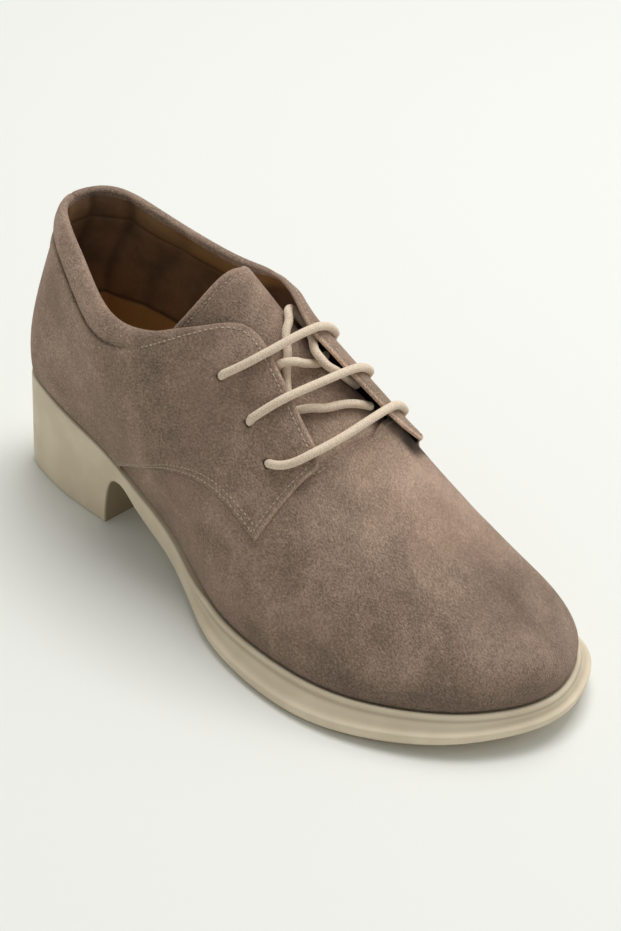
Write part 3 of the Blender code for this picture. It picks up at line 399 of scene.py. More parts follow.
def last(u, h, all_ridge=False):
    """Surface of the last: a cubic Bezier from the feather line up to the collar or ridge.

    With all_ridge the sections behind the throat also close over the foot, as the tongue does."""
    u, h = np.broadcast_arrays(np.asarray(u, float), np.asarray(h, float))
    count, inner = fold(u)
    foot = feather(u)
    out = outward(u)
    swell = spline(ROUND_NODES, FOOT_SWELL, u, closed=True)
    low = foot + np.concatenate([swell[..., :1] * out, swell[..., 1:]], axis=-1)
    on_collar = 1.0 - smooth_step(COLLAR_ENDS, RIDGE_STARTS, count)[..., None]
    if all_ridge:
        on_collar = np.zeros_like(on_collar)
    signed = np.clip(np.where(inner, -count, count), -8.0, 8.0)
    collar = spline(COLLAR_NODES, COLLAR_POINTS, signed)
    turn = np.clip(count, 4.0, TOE)
    turn = np.where(inner, AROUND - turn, turn)
    top, tangent = ridge(spline(RIDGE_NODES, RIDGE_MEET_X, turn))
    top = on_collar * collar + (1.0 - on_collar) * top
    drop = spline(COLLAR_NODES, COLLAR_SWELL, signed)
    from_collar = np.concatenate([drop[..., :1] * out, -drop[..., 1:]], axis=-1)
    reach = spline(RIDGE_NODES, RIDGE_REACH, turn)[..., None]
    from_ridge = reach * (out[..., :1] * tangent + out[..., 1:] * np.array([0.0, 1.0, 0.0]))
    high = top + on_collar * from_collar + (1.0 - on_collar) * from_ridge
    h = h[..., None]
    rest = 1.0 - h
    return rest ** 3 * foot + 3 * rest ** 2 * h * low + 3 * rest * h * h * high + h ** 3 * top


def last_normal(u, h, all_ridge=False):
    """Outward unit normal of the last, the mean of both sides where they meet on the ridge."""
    def one_side(station):
        level = np.clip(h, 0.004, 0.985)
        around = last(station + 0.03, level, all_ridge) - last(station - 0.03, level, all_ridge)
        upward = last(station, level + 0.004, all_ridge) - last(station, level - 0.004, all_ridge)
        cross = np.cross(around, upward)
        return cross / np.linalg.norm(cross, axis=-1, keepdims=True)
    u, h = np.broadcast_arrays(np.asarray(u, float), np.asarray(h, float))
    normal = one_side(u)
    both = smooth_step(0.94, 1.0, h)[..., None]
    if not all_ridge:
        both = both * smooth_step(RIDGE_STARTS - 0.4, RIDGE_STARTS, fold(u)[0])[..., None]
    mean = normal + both * one_side(AROUND - u)
    return mean / np.linalg.norm(mean, axis=-1, keepdims=True)


def offset(u, h, distance, all_ridge=False):
    """Point at a distance outside the last."""
    return last(u, h, all_ridge) + distance[..., None] * last_normal(u, h, all_ridge)


def station_at(x):
    """Station of the outer side whose feather point lies at x."""
    stations = np.linspace(0.0, TOE, 1401)
    return float(np.interp(x, feather(stations)[:, 0], stations))


def sole_height(x):
    """Heights of the lower edge of the sole's side and of its bottom, in front of the heel."""
    rows = SOLE_ROWS[:, 1:] * HEEL_HEIGHT
    found = spline(from_back(SOLE_ROWS[:, 0]), rows, np.maximum(x, from_back(SOLE_ROWS[0, 0])))
    return found[..., 0], np.maximum(found[..., 1], 0.0)


def heel_bottom(x):
    """Height of the bottom: the floor under the heel, the rounded breast, then the waist."""
    arch_top = from_back(SOLE_ROWS[1, 0])
    _, waist = sole_height(np.maximum(x, arch_top))
    share = np.clip((x - BREAST_X) / (arch_top - BREAST_X), 0.0, 1.0)
    breast = waist * (1.0 - (1.0 - share) ** 4) ** 0.5
    return np.where(x <= BREAST_X + 1e-6, 0.0, np.where(x < arch_top, breast, waist))


def quarter_places(along, across):
    """Grid over both quarters, from the inner flap round to the outer: stations, heights and shares.

    Share a runs from the back to a flap's front, minus on the inner side, and share b from the
    lower edge up to the upper one. Places lie on straight lines between the two edges."""
    share = np.linspace(0.0, 1.0, across)
    marks = np.linspace(0.0, 1.0, len(QUARTER_TOP_OUTER))
    sides = []
    for tops, lows in ((QUARTER_TOP_INNER, QUARTER_LOW_INNER), (QUARTER_TOP_OUTER, QUARTER_LOW_OUTER)):
        top = spline(marks, tops, along)
        low = spline(marks, lows, along)
        top[:, 1] = np.minimum(top[:, 1], 1.0)
        low[:, 1] = np.maximum(low[:, 1], 0.0)
        low[along < 0.46, 1] = 0.0
        sides.append(low[:, None, :] + share[None, :, None] * (top - low)[:, None, :])
    inner, outer = sides
    u = np.concatenate([AROUND - inner[:0:-1, :, 0], outer[:, :, 0]])
    h = np.concatenate([inner[:0:-1, :, 1], outer[:, :, 1]])
    a = np.concatenate([-along[:0:-1], along])[:, None] * np.ones(across)
    b = np.ones((len(a), 1)) * share[None, :]
    return u, h, a, b


def quarter_rise(u, a, b):
    """How far the quarters' outer face stands off the last.

    The seam's step, which grows in from the heel, plus each flap's lift towards its free edge."""
    count, _ = fold(u)
    step = SEAM_STEP * smooth_step(2.8, 4.6, count)
    front = np.where(a < 0.0, smooth_step(0.40, 0.62, -a), smooth_step(0.52, 0.72, a))
    lift = np.where(a < 0.0, INNER_FLAP_LIFT, OUTER_FLAP_LIFT)
    return step + lift * front * smooth_step(0.50, 1.0, b)


def quarter_wall(a, b):
    """Thickness of the quarters: padded towards the collar, plain at the flaps."""
    padded = smooth_step(0.66, 0.90, b) * (1.0 - smooth_step(0.36, 0.50, np.abs(a)))
    return UPPER_WALL + (COLLAR_WALL - UPPER_WALL) * padded


def eyelet_axis(place, side):
    """Point on the last, outward direction, and how far out the flap's outer face is there.

    Side is 1 for the inner flap and -1 for the outer. The rise is read at the nearest point of
    a coarse grid, where height counts four times as much as station."""
    station, height = place
    u = np.array(AROUND - station if side > 0 else station)
    h = np.array(height)
    grid_u, grid_h, a, b = quarter_places(np.linspace(0.0, 1.0, 141), 61)
    far = np.abs(grid_u - u) + 4.0 * np.abs(grid_h - h)
    near = np.unravel_index(np.argmin(far), far.shape)
    rise = quarter_rise(grid_u, a, b)[near]
    return last(u, h), last_normal(u, h), rise


# Meshes

def weld_points(points):
    """Key of each point: points that round to one place on a fine lattice share a key."""
    cells = np.round(points.reshape(-1, 3) / WELD_PITCH).astype(np.int64)
    _, keys = np.unique(cells, axis=0, return_inverse=True)
    return keys.reshape(points.shape[:-1])


def split_degenerate(quads, parts):
    """The true quads, the quads with a doubled corner as triangles, and the parts of both."""
    doubled = quads == np.roll(quads, 1, axis=1)
    count = doubled.sum(axis=1)
    pinched = [(count == 1) & doubled[:, k] for k in range(4)]
    triangles = [np.delete(quads[rows], k, axis=1) for k, rows in enumerate(pinched)]
    order = [parts[count == 0]] + [parts[rows] for rows in pinched]
    return quads[count == 0], np.vstack(triangles), np.concatenate(order)


def add_piece(name, points, quads, materials, parts=None, sharp=50.0, slot_name=None, nodes=()):
    """A mesh object from whole arrays of points and quads, riding on the shoe.

    Parts is the material number of each quad. An edge of more than sharp degrees stays sharp."""
    parts = np.zeros(len(quads), int) if parts is None else parts
    a, b, c, d = (points[quads[:, k]] for k in range(4))
    if np.sum(a * (np.cross(b, c) + np.cross(c, d))) < 0.0:
        quads = quads[:, ::-1]
    full, pinched, order = split_degenerate(quads, parts)
    mesh = bpy.data.meshes.new(name)
    mesh.from_pydata(points, [], full.tolist() + pinched.tolist())
    mesh.polygons.foreach_set("material_index", order.astype(np.int32))
    for material in materials:
        mesh.materials.append(material)
    mesh.shade_smooth()
    mesh.set_sharp_from_angle(angle=math.radians(sharp))
    mesh.update()
    piece = bpy.data.objects.new(name, mesh)
    bpy.context.scene.collection.objects.link(piece)
    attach(piece, "root")
    if nodes:
        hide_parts(*nodes)
    return piece


def set_mark(piece, name, values):
    """A number at every point of a piece, read by its material."""
    layer = piece.data.attributes.new(name, "FLOAT", "POINT")
    layer.data.foreach_set("value", np.asarray(values, np.float32).ravel())


def corners(grid):
    """The four corners of each cell of a grid, one row for each cell."""
    return np.stack([grid[:-1, :-1], grid[:-1, 1:], grid[1:, 1:], grid[1:, :-1]], -1).reshape(-1, 4)


def grid_quads(rows, columns):
    """Quads of a grid of points that closes from its last column to its first."""
    place = np.arange(rows * columns).reshape(rows, columns)
    return corners(np.hstack([place, place[:, :1]]))


def unit(vectors):
    """Vectors scaled to length one."""
    return vectors / np.maximum(np.linalg.norm(vectors, axis=-1, keepdims=True), 1e-12)


def shell(name, outer, inner, roundness, materials, holes=(), marks=None, turned=None,
          **settings):
    """Closed shell between two grids of points, with a rounded rim along every open edge.

    The rim runs from outer to inner as a half ellipse in the wall: across by half the wall, and
    out past the edge by roundness times half the wall. A hole is (centre, axis, radius): quads
    inside it are left out, and the points next to it are moved onto its circle. Marks are pairs
    for the outer and the inner face. Turned says where the outer material is folded over onto
    the inner face."""
    keys = weld_points(outer)
    quads = corners(keys)
    keep = np.ones(len(quads), bool)
    for centre, axis, radius in holes:
        spoke = outer - centre
        depth = (spoke @ axis)[..., None]
        spoke = spoke - depth * axis
        away = np.linalg.norm(spoke, axis=-1)
        near = np.abs(depth[..., 0]) < HOLE_REACH
        deep = near & (away < radius - HOLE_INSIDE)
        keep &= ~corners(deep).any(axis=1)
        ring = near & ~deep & (away < radius + HOLE_OUTSIDE)
        pull = (spoke / np.maximum(away, 1e-9)[..., None]) * (radius - away)[..., None]
        outer = outer + np.where(ring[..., None], pull, 0.0)
        inner = inner + np.where(ring[..., None], pull, 0.0)
    _, first = np.unique(keys.ravel(), return_index=True)
    count = len(first)
    top = outer.reshape(-1, 3)[first]
    low = inner.reshape(-1, 3)[first]
    wall = top - low
    facing = unit(wall)
    quads = quads[keep]
    a, b, c = top[quads[:, 0]], top[quads[:, 1]], top[quads[:, 2]]
    if np.sum(np.cross(b - a, c - a) * facing[quads[:, 0]]) < 0.0:
        quads = quads[:, ::-1]
    edges = np.vstack([quads[:, [k, (k + 1) % 4]] for k in range(4)])
    edges = edges[edges[:, 0] != edges[:, 1]]
    shared = np.isin(edges[:, 0] * count + edges[:, 1], edges[:, 1] * count + edges[:, 0])
    edges = edges[~shared]
    beyond = unit(np.cross(top[edges[:, 1]] - top[edges[:, 0]], facing[edges[:, 0]]))
    out = np.zeros_like(top)
    np.add.at(out, edges[:, 0], beyond)
    np.add.at(out, edges[:, 1], beyond)
    border = np.unique(edges)
    out = unit(out - np.sum(out * facing, axis=1, keepdims=True) * facing)[border]
    spread = np.broadcast_to(roundness, keys.shape).ravel()[first][border]
    bulge = 0.5 * np.linalg.norm(wall[border], axis=1) * spread
    points = [top, low]
    rings = [border]
    for k in range(1, RIM_STEPS):
        turn = math.pi * k / RIM_STEPS
        rings.append(2 * count + (k - 1) * len(border) + np.arange(len(border)))
        points.append(top[border] - 0.5 * (1.0 - math.cos(turn)) * wall[border]
                      + math.sin(turn) * bulge[:, None] * out)
    rings.append(border + count)
    place = np.searchsorted(border, edges)
    rim = [np.column_stack([rings[k][place[:, 1]], rings[k][place[:, 0]],
                            rings[k + 1][place[:, 0]], rings[k + 1][place[:, 1]]])
           for k in range(RIM_STEPS)]
    faces = np.vstack([quads, quads[:, ::-1] + count] + rim)
    turned = np.zeros(keys.shape, bool) if turned is None else turned
    lined = ~turned.ravel()[first][quads].any(axis=1)
    parts = np.concatenate([np.zeros(len(quads), int), lined.astype(int),
                            np.zeros(sum(len(r) for r in rim), int)])
    piece = add_piece(name, np.vstack(points), faces, materials, parts, **settings)
    for mark, (upper, under) in (marks or {}).items():
        upper, under = (np.broadcast_to(grid, keys.shape).ravel()[first] for grid in (upper, under))
        set_mark(piece, mark, np.concatenate([upper, under] + [upper[border]] * (RIM_STEPS - 1)))


def run_length(points):
    """Distance from the first point of a path to each of its points, or down a grid's columns."""
    steps = np.linalg.norm(np.diff(points, axis=0), axis=-1)
    return np.concatenate([np.zeros_like(steps[:1]), np.cumsum(steps, axis=0)])


def even_path(points, spacing):
    """Cubic spline through points, read at even steps close to the spacing."""
    run = run_length(points)
    fine = spline(run, points, np.linspace(0.0, run[-1], 12 * len(points)))
    length = run_length(fine)
    count = max(3, int(round(length[-1] / spacing)) + 1)
    wanted = np.linspace(0.0, length[-1], count)
    return np.column_stack([np.interp(wanted, length, fine[:, k]) for k in range(3)])


def frames_along(path):
    """Tangent and two square directions at each point of a path, turned as little as possible."""
    tangent = unit(np.gradient(path, axis=0))
    side = np.zeros_like(path)
    start = np.cross(tangent[0], [0.0, 0.0, 1.0])
    side[0] = start / np.linalg.norm(start)
    for k in range(1, len(path)):
        moved = side[k - 1] - np.dot(side[k - 1], tangent[k]) * tangent[k]
        side[k] = moved / np.linalg.norm(moved)
    return tangent, side, np.cross(tangent, side)


def tube(name, path, radius, material, **settings):
    """Round cord along a path: a circle of the radius at each point, with rounded closed ends.

    Each end adds three rings that shrink as a quarter circle does. The mark run is the length
    along it in metres, and the mark around goes from 0 to 1 half way round and back."""
    tangent, side, other = frames_along(path)
    sides = LACE_SIDES
    back = np.array([0.0, 0.62, 0.92])
    shrink = np.sqrt(1.0 - back ** 2)
    centres = np.vstack([path[:1] - (back[::-1, None] * 0.7 * radius) * tangent[:1], path,
                         path[-1:] + (back[:, None] * 0.7 * radius) * tangent[-1:]])
    sizes = np.concatenate([shrink[::-1], np.ones(len(path)), shrink]) * radius
    pick = np.concatenate([[0] * 3, np.arange(len(path)), [len(path) - 1] * 3])
    angle = np.linspace(0.0, 2.0 * math.pi, sides, endpoint=False)
    spoke = (np.cos(angle)[None, :, None] * side[pick][:, None, :]
             + np.sin(angle)[None, :, None] * other[pick][:, None, :])
    rings = centres[:, None, :] + sizes[:, None, None] * spoke
    rows = len(rings)
    ends = np.vstack([centres[0] - 0.1 * radius * tangent[0], centres[-1] + 0.1 * radius * tangent[-1]])
    points = np.vstack([rings.reshape(-1, 3), ends])
    place = np.arange(sides)
    after = (place + 1) % sides
    first, final = rows * sides, rows * sides + 1
    caps = [np.column_stack([place, np.full(sides, first), np.full(sides, first), after]),
            np.column_stack([place, after, np.full(sides, final), np.full(sides, final)])
            + np.array([(rows - 1) * sides, (rows - 1) * sides, 0, 0])]
    quads = np.vstack([grid_quads(rows, sides)[:, ::-1]] + caps)
    piece = add_piece(name, points, quads, [material], **settings)
    run = run_length(centres)
    turn = np.minimum(angle / (2.0 * math.pi), 1.0 - angle / (2.0 * math.pi)) * 2.0
    set_mark(piece, "run", np.append(np.repeat(run, sides), [run[0], run[-1]]))
    set_mark(piece, "around", np.append(np.tile(turn, rows), [0.0, 0.0]))
    return piece


# Materials

def linear(code):
    """Linear red, green, blue and alpha of an sRGB hex colour, by the standard sRGB curve."""
    part = np.array([int(code[k:k + 2], 16) for k in (1, 3, 5)]) / 255.0
    part = np.where(part <= 0.04045, part / 12.92, ((part + 0.055) / 1.055) ** 2.4)
    return (*part.tolist(), 1.0)


def feed(tree, node, inputs):
    """Gives a node's inputs their values and colours, or links the sockets that feed them."""
    for name, value in inputs.items():
        if isinstance(value, bpy.types.NodeSocket):
            tree.links.new(value, node.inputs[name])
        else:
            node.inputs[name].default_value = value


def add_node(tree, kind, inputs=None, **settings):
    """A node with its settings. Inputs are values, colours or the sockets that feed it."""
    node = tree.nodes.new(kind)
    for name, value in settings.items():
        setattr(node, name, value)
    feed(tree, node, inputs or {})
    return node


def new_material(name):
    """A material with a Principled shader, its node tree and the shader."""
    material = bpy.data.materials.new(name)
    material.use_nodes = True
    return material, material.node_tree, material.node_tree.nodes["Principled BSDF"]


def on_piece(tree):
    """The place on the piece, in metres."""
    return add_node(tree, "ShaderNodeTexCoord").outputs["Object"]


def read_mark(tree, name):
    """The number that the piece's points carry under a name."""
    return add_node(tree, "ShaderNodeAttribute", attribute_name=name).outputs["Fac"]


def maths(tree, kind, *values):
    """One step of arithmetic on numbers or sockets."""
    return add_node(tree, "ShaderNodeMath", dict(enumerate(values)), operation=kind).outputs[0]


def bump(tree, height, strength, distance, under=None):
    """Normal of a relief, laid over another one if given. The distance is in metres."""
    inputs = {"Height": height, "Strength": strength, "Distance": distance}
    if under:
        inputs["Normal"] = under
    return add_node(tree, "ShaderNodeBump", inputs).outputs["Normal"]


def noise(tree, place, size, detail=3.0, rough=0.55, warp=0.0):
    """Noise between 0 and 1 with features of about that size in metres."""
    return add_node(tree, "ShaderNodeTexNoise", {
        "Vector": place, "Scale": 1.0 / size, "Detail": detail, "Roughness": rough,
        "Distortion": warp}).outputs["Fac"]


def between(tree, value, low, high):
    """The value carried from the range low to high onto 0 to 1, with level ends."""
    return add_node(tree, "ShaderNodeMapRange", {"Value": value, "From Min": low, "From Max": high},
                    interpolation_type="SMOOTHSTEP").outputs["Result"]


def mixed(tree, share, first, second):
    """First colour at share 0, second at share 1."""
    node = add_node(tree, "ShaderNodeMix", data_type="RGBA")
    feed(tree, node, {"Factor": share, 6: first, 7: second})
    return node.outputs[2]


def suede(name, low, middle, high):
    """Faux suede: microfibre cloth with a short brushed nap.

    Made by mixing three close taupes by noise at the sizes of hand strokes, nap clumps and
    fibre bundles, with sheen for the fibre tips and a fine bump. The real fibres are 0.02 mm
    wide, so the grain is drawn coarser: noise of 1.0 mm with finer parts, brushed one way. It
    gives the eye a dry, mottled, soft skin, with pinker patches where a hand has stroked the
    nap. One mark makes the nap paler: wear on the folded edges, and a painted highlight on the
    padded collar, round the heel, over the tongue and on top of the vamp. The mark deep mixes
    in painted shade at the seams, along the welt, at the toe and under the inner flap."""
    material, tree, shader = new_material(name)
    place = on_piece(tree)
    stroke = noise(tree, place, 0.030, 3.0, 0.6, 0.8)
    clump = noise(tree, place, 0.0052, 4.0, 0.62, 0.5)
    brushed = add_node(tree, "ShaderNodeMapping", {
        "Vector": place, "Rotation": (0.5, 0.4, 0.9), "Scale": (1.0, 2.2, 1.3)}).outputs["Vector"]
    grain = noise(tree, brushed, 0.0010, 3.0, 0.8)
    tone = maths(tree, "MULTIPLY", stroke, 0.50)
    tone = maths(tree, "MULTIPLY_ADD", clump, 0.20, tone)
    tone = maths(tree, "MULTIPLY_ADD", grain, 0.96, tone)
    colour = mixed(tree, between(tree, tone, 0.63, 0.86), linear(low), linear(middle))
    colour = mixed(tree, between(tree, tone, 0.80, 1.04), colour, linear(high))
    hand = between(tree, noise(tree, place, 0.045, 2.0, 0.5), 0.46, 0.76)
    colour = mixed(tree, maths(tree, "MULTIPLY", hand, 0.34), colour, linear("#b09081"))
    # Paler nap from one mark: wear on rubbed edges, and a painted highlight on the collar roll, round the
    # heel, over the tongue and on top of the vamp.
    paler = maths(tree, "MULTIPLY_ADD", read_mark(tree, "pale_tone_and_painted_light"), 1.05, 1.0)
    colour = add_node(tree, "ShaderNodeHueSaturation", {"Color": colour, "Value": paler}
                      ).outputs["Color"]
    # Painted shade: dark brown mixed in along seams and the welt, at the toe and under the inner flap.
    colour = mixed(tree, read_mark(tree, "deep"), colour, linear("#2b221c"))
    feed(tree, shader, {
        "Base Color": colour, "Roughness": 0.95, "IOR": 1.46, "Specular IOR Level": 0.18,
        "Sheen Weight": 0.60, "Sheen Roughness": 0.36, "Sheen Tint": linear("#e6cab8"),
        "Normal": bump(tree, clump, 0.5, 0.0005, under=bump(tree, grain, 1.0, 0.0005))})
    return material


def lining_leather(name, low, high):
    """Thin synthetic lining leather: a smooth coated face with a fine pebble and slow shading.

    Made with two browns mixed by soft noise, a low Voronoi pebble for bump and a satin gloss.
    The mark deep mixes in painted shade in its pleats and on the back of the inner flap, and
    dark lines at the band's seam and the cup's edge. A second mark mixes in tan: the heel cup,
    the middle of the back, and the band under the collar, on the inner side only, where it also
    stands for the light that falls there. It gives the eye the warm dark inside of the shoe."""
    material, tree, shader = new_material(name)
    place = on_piece(tree)
    slow = noise(tree, place, 0.022, 3.0, 0.6)
    colour = mixed(tree, between(tree, slow, 0.35, 0.65), linear(low), linear(high))
    # Tan: the heel cup's footbed leather and the collar band, which on the inner side also stands for the
    # light that falls there.
    colour = mixed(tree, read_mark(tree, "pale_tone_and_painted_light"), colour, linear("#b98f5b"))
    # Painted shade: near black under the inner flap and in the pleats, with dark lines at the band's seam
    # and the cup's edge.
    colour = mixed(tree, read_mark(tree, "deep"), colour, linear("#1b120c"))
    pebble = add_node(tree, "ShaderNodeTexVoronoi", {"Vector": place, "Scale": 900.0})
    feed(tree, shader, {
        "Base Color": colour, "Roughness": 0.62, "IOR": 1.5, "Specular IOR Level": 0.35,
        "Normal": bump(tree, pebble.outputs["Distance"], 0.35, 0.00015)})
    return material


def moulded_rubber(name, base, dusty):
    """Moulded thermoplastic rubber of the sole and heel: beige, matt, slightly milky.

    Made with a near-even colour, a faint cloudiness, a little subsurface light and a fine
    moulding grain in bump. The mark deep mixes in painted shade: in its groove, its undercut and on the
    breast of the heel.
    It gives the eye a soft solid block with dull edges."""
    material, tree, shader = new_material(name)
    place = on_piece(tree)
    cloud = noise(tree, place, 0.018, 2.0, 0.5)
    colour = mixed(tree, between(tree, cloud, 0.3, 0.7), linear(base), linear(dusty))
    # Painted shade: a darker beige in the groove, down the slope, above the bottom edge and on the heel's
    # breast.
    colour = mixed(tree, read_mark(tree, "deep"), colour, linear("#8d7d66"))
    grain = noise(tree, place, 0.0006, 2.0)
    feed(tree, shader, {
        "Base Color": colour, "Roughness": 0.58, "IOR": 1.5, "Specular IOR Level": 0.4,
        "Subsurface Weight": 0.08, "Subsurface Radius": (0.0025, 0.0018, 0.0012),
        "Normal": bump(tree, grain, 0.25, 0.00012)})
    return material


def woven_lace(name, low, high):
    """Round braided polyester lace.

    Made from the marks run and around: two families of slanting yarns that cross at 1.0 mm a
    repeat, as a faint colour and a low bump. It gives the eye a dry matt cord with a fine
    plaited surface."""
    material, tree, shader = new_material(name)
    along = maths(tree, "MULTIPLY", read_mark(tree, "run"), 1.0 / 0.0010)
    around = read_mark(tree, "around")
    waves = []
    for slant in (3.0, -3.0):
        turns = maths(tree, "MULTIPLY_ADD", around, slant, along)
        waves.append(maths(tree, "SINE", maths(tree, "MULTIPLY", turns, 2.0 * math.pi)))
    braid = maths(tree, "MAXIMUM", *waves)
    fuzz = noise(tree, on_piece(tree), 0.0007, 3.0, 0.7)
    tone = maths(tree, "MULTIPLY_ADD", braid, 0.10, fuzz)
    feed(tree, shader, {
        "Base Color": mixed(tree, between(tree, tone, 0.25, 0.80), linear(low), linear(high)),
        "Roughness": 0.88, "Specular IOR Level": 0.2, "Sheen Weight": 0.25,
        "Sheen Roughness": 0.5, "Normal": bump(tree, braid, 0.3, 0.00008)})
    return material


def sewing_thread(name, code):
    """Twisted polyester sewing thread.

    Made with one pale colour flecked by noise of 0.5 mm. It gives the eye small, matt stitches
    that are paler than the suede they lie in."""
    material, tree, shader = new_material(name)
    speck = noise(tree, on_piece(tree), 0.0005, 1.0)
    feed(tree, shader, {
        "Base Color": mixed(tree, between(tree, speck, 0.3, 0.7), linear(code), linear("#ab9884")),
        "Roughness": 0.75, "Specular IOR Level": 0.25})
    return material


def studio_floor(name, code):
    """Pale painted studio floor: one even matt colour, so that the eye rests on the shoe."""
    material, tree, shader = new_material(name)
    feed(tree, shader, {"Base Color": linear(code), "Roughness": 0.7, "Specular IOR Level": 0.2})
    return material


SUEDE = suede("taupe_faux_suede", "#726254", "#957f6f", "#b9a08d")
LINING = lining_leather("brown_lining_leather", "#755a44", "#94755a")
FOOTBED = lining_leather("tan_footbed_leather", "#b0834f", "#c39763")
RUBBER = moulded_rubber("beige_moulded_rubber", "#e5d7bd", "#d9cab0")
LACE = woven_lace("beige_braided_lace", "#d2bca3", "#f2e0ca")
THREAD = sewing_thread("pale_sewing_thread", "#d0bfab")


# Surface relief

def to_path(place, path):
    """Distance from each place to the nearest point of a path, and that point's share along it."""
    flat = place.reshape(-1, 3)
    gap = np.full(len(flat), np.inf)
    share = np.zeros(len(flat))
    for k, point in enumerate(path):
        away = np.linalg.norm(flat - point, axis=1)
        nearer = away < gap
        gap[nearer] = away[nearer]
        share[nearer] = k / (len(path) - 1.0)
    return gap.reshape(place.shape[:-1]), share.reshape(place.shape[:-1])


def signed_places(rows):
    """Stations once round and heights, from rows whose stations are minus on the inner side."""
    rows = np.array(rows)
    return np.where(rows[:, 0] < 0.0, AROUND + rows[:, 0], rows[:, 0]), rows[:, 1]


# Soft creases of the worn-in upper, put in where the photo shows them. Each has its
# path as (station, height) rows, then its half width and its depth in mm. A ridge has a minus
# depth.
QUARTER_CREASES = (
    (((2.3, 0.72), (2.5, 0.52), (2.9, 0.34), (3.2, 0.16)), 5.5, 0.55),
    (((3.1, 0.62), (3.4, 0.48), (3.9, 0.34), (4.3, 0.22)), 5.0, -0.40),
    (((4.5, 0.90), (4.7, 0.74), (5.1, 0.60), (5.6, 0.52)), 5.0, 0.60),
    (((5.2, 0.84), (5.6, 0.70), (6.1, 0.62)), 4.5, -0.35),
    (((5.9, 0.56), (6.6, 0.52), (7.3, 0.50), (7.9, 0.47)), 4.5, 0.35),
    (((1.0, 0.80), (1.3, 0.60), (1.4, 0.40)), 5.0, 0.35),
    (((-2.3, 0.70), (-2.6, 0.50), (-3.0, 0.32)), 5.5, 0.50),
    (((-3.6, 0.72), (-4.1, 0.52), (-4.6, 0.38)), 5.0, -0.40),
    (((-4.8, 0.86), (-5.2, 0.68), (-5.8, 0.56)), 5.5, 0.55),
    (((-6.6, 0.60), (-7.4, 0.58), (-8.2, 0.54)), 4.5, 0.30),
    (((-7.0, 0.86), (-7.6, 0.80), (-8.4, 0.66)), 4.0, 0.30),
)
VAMP_CREASES = (
    (((9.1, 0.30), (9.5, 0.42), (9.9, 0.56), (10.1, 0.70)), 6.0, 0.45),
    (((9.9, 0.26), (10.3, 0.40), (10.6, 0.56)), 6.5, -0.35),
    (((10.2, 0.92), (10.0, 1.0), (-10.1, 0.90), (-10.3, 0.78)), 6.0, 0.35),
    (((10.8, 0.80), (10.7, 1.0), (-10.8, 0.84), (-11.0, 0.66)), 7.0, -0.30),
    (((11.3, 0.30), (11.7, 0.50), (11.9, 0.70)), 7.0, 0.25),
    (((-10.0, 0.34), (-10.4, 0.48), (-10.7, 0.60)), 6.0, 0.40),
    (((-9.2, 0.18), (-9.8, 0.30), (-10.4, 0.36)), 5.0, -0.30),
    (((7.4, 0.20), (8.1, 0.26), (8.9, 0.27)), 4.5, 0.35),
    (((-6.8, 0.20), (-7.6, 0.26), (-8.5, 0.26)), 4.5, 0.35),
)


def creased(place, creases):
    """Sum of the creases at each place, in metres: a bell across each path, fading at its ends.

    The fade is a half sine of the share along the path, to the power 0.7."""
    total = np.zeros(place.shape[:-1])
    for rows, width, depth in creases:
        gap, share = to_path(place, even_path(last(*signed_places(rows)), CREASE_PITCH))
        fade = np.sin(np.pi * np.clip(0.12 + 0.76 * share, 0.0, 1.0)) ** 0.7
        total -= depth * MM * bell(gap, 0.0, width * MM) * fade
    return total


def across_rows(points):
    """Distance to each point of a grid from the last point of its row, and from the first."""
    run = run_length(points.swapaxes(0, 1)).T
    return run[:, -1:] - run, run


def bell(distance, centre, width):
    """Bell of height 1 at the centre: e to the minus square of the distance over the width."""
    return np.exp(-((distance - centre) / width) ** 2)


# Upper: seams and edges, as distances in mm from the edge they follow
EDGE_ROLL = 1.3                # over which the folded edge rounds off
FACING_STITCH = 1.9            # stitch line inside the facing
COLLAR_SEAM = 9.5              # seam of the padded collar strip, which narrows into the facing
CUP_HEIGHT = 25.0              # how far the footbed's leather runs up the lining at the heel
BAND_SEAM = 11.5               # seam of the lining's band under the collar
TURNED_ROWS = 2                # rows of the grid where the suede is folded over inside the collar
SEAM_STITCHES = (1.9, 4.1)     # double row above the seam over the vamp
VAMP_STITCH = 1.9
TONGUE_STITCH = 2.2
STITCH_PITCH = 2.0
STITCH_LENGTH = 1.5
STITCH_RISE = 0.24             # how much higher the middle of a stitch lies than its ends
STITCH_RADIUS = 0.23 * MM


def collar_share(a):
    """1 on the padded collar strip, 0 at the flaps, from the share along a quarter."""
    return 1.0 - smooth_step(0.26, 0.36, np.abs(a))


def seam_distance(a):
    """How far the collar seam lies below the edge: it closes in to the facing's stitch line."""
    closing = smooth_step(0.25, 0.49, np.abs(a))
    return (COLLAR_SEAM + (FACING_STITCH - COLLAR_SEAM) * closing) * MM


# Upright folds of the lining at the heel. Columns: share along the quarters, minus on the inner
# side, then how far it stands in and its half width as a share. Minus depths are pleats.
LINING_FOLDS = (
    (-0.045, -0.9, 0.009), (-0.130, -1.0, 0.010), (-0.215, -0.5, 0.012), (0.050, -0.8, 0.010),
    (-0.088, 0.6, 0.020), (-0.172, 0.6, 0.022), (0.110, 0.5, 0.025), (-0.300, 0.4, 0.020),
)

# Outer faces as built, for the pieces that lie on them
QUARTER_FACE = {}
VAMP_FACE = {}
TONGUE_FACE = {}


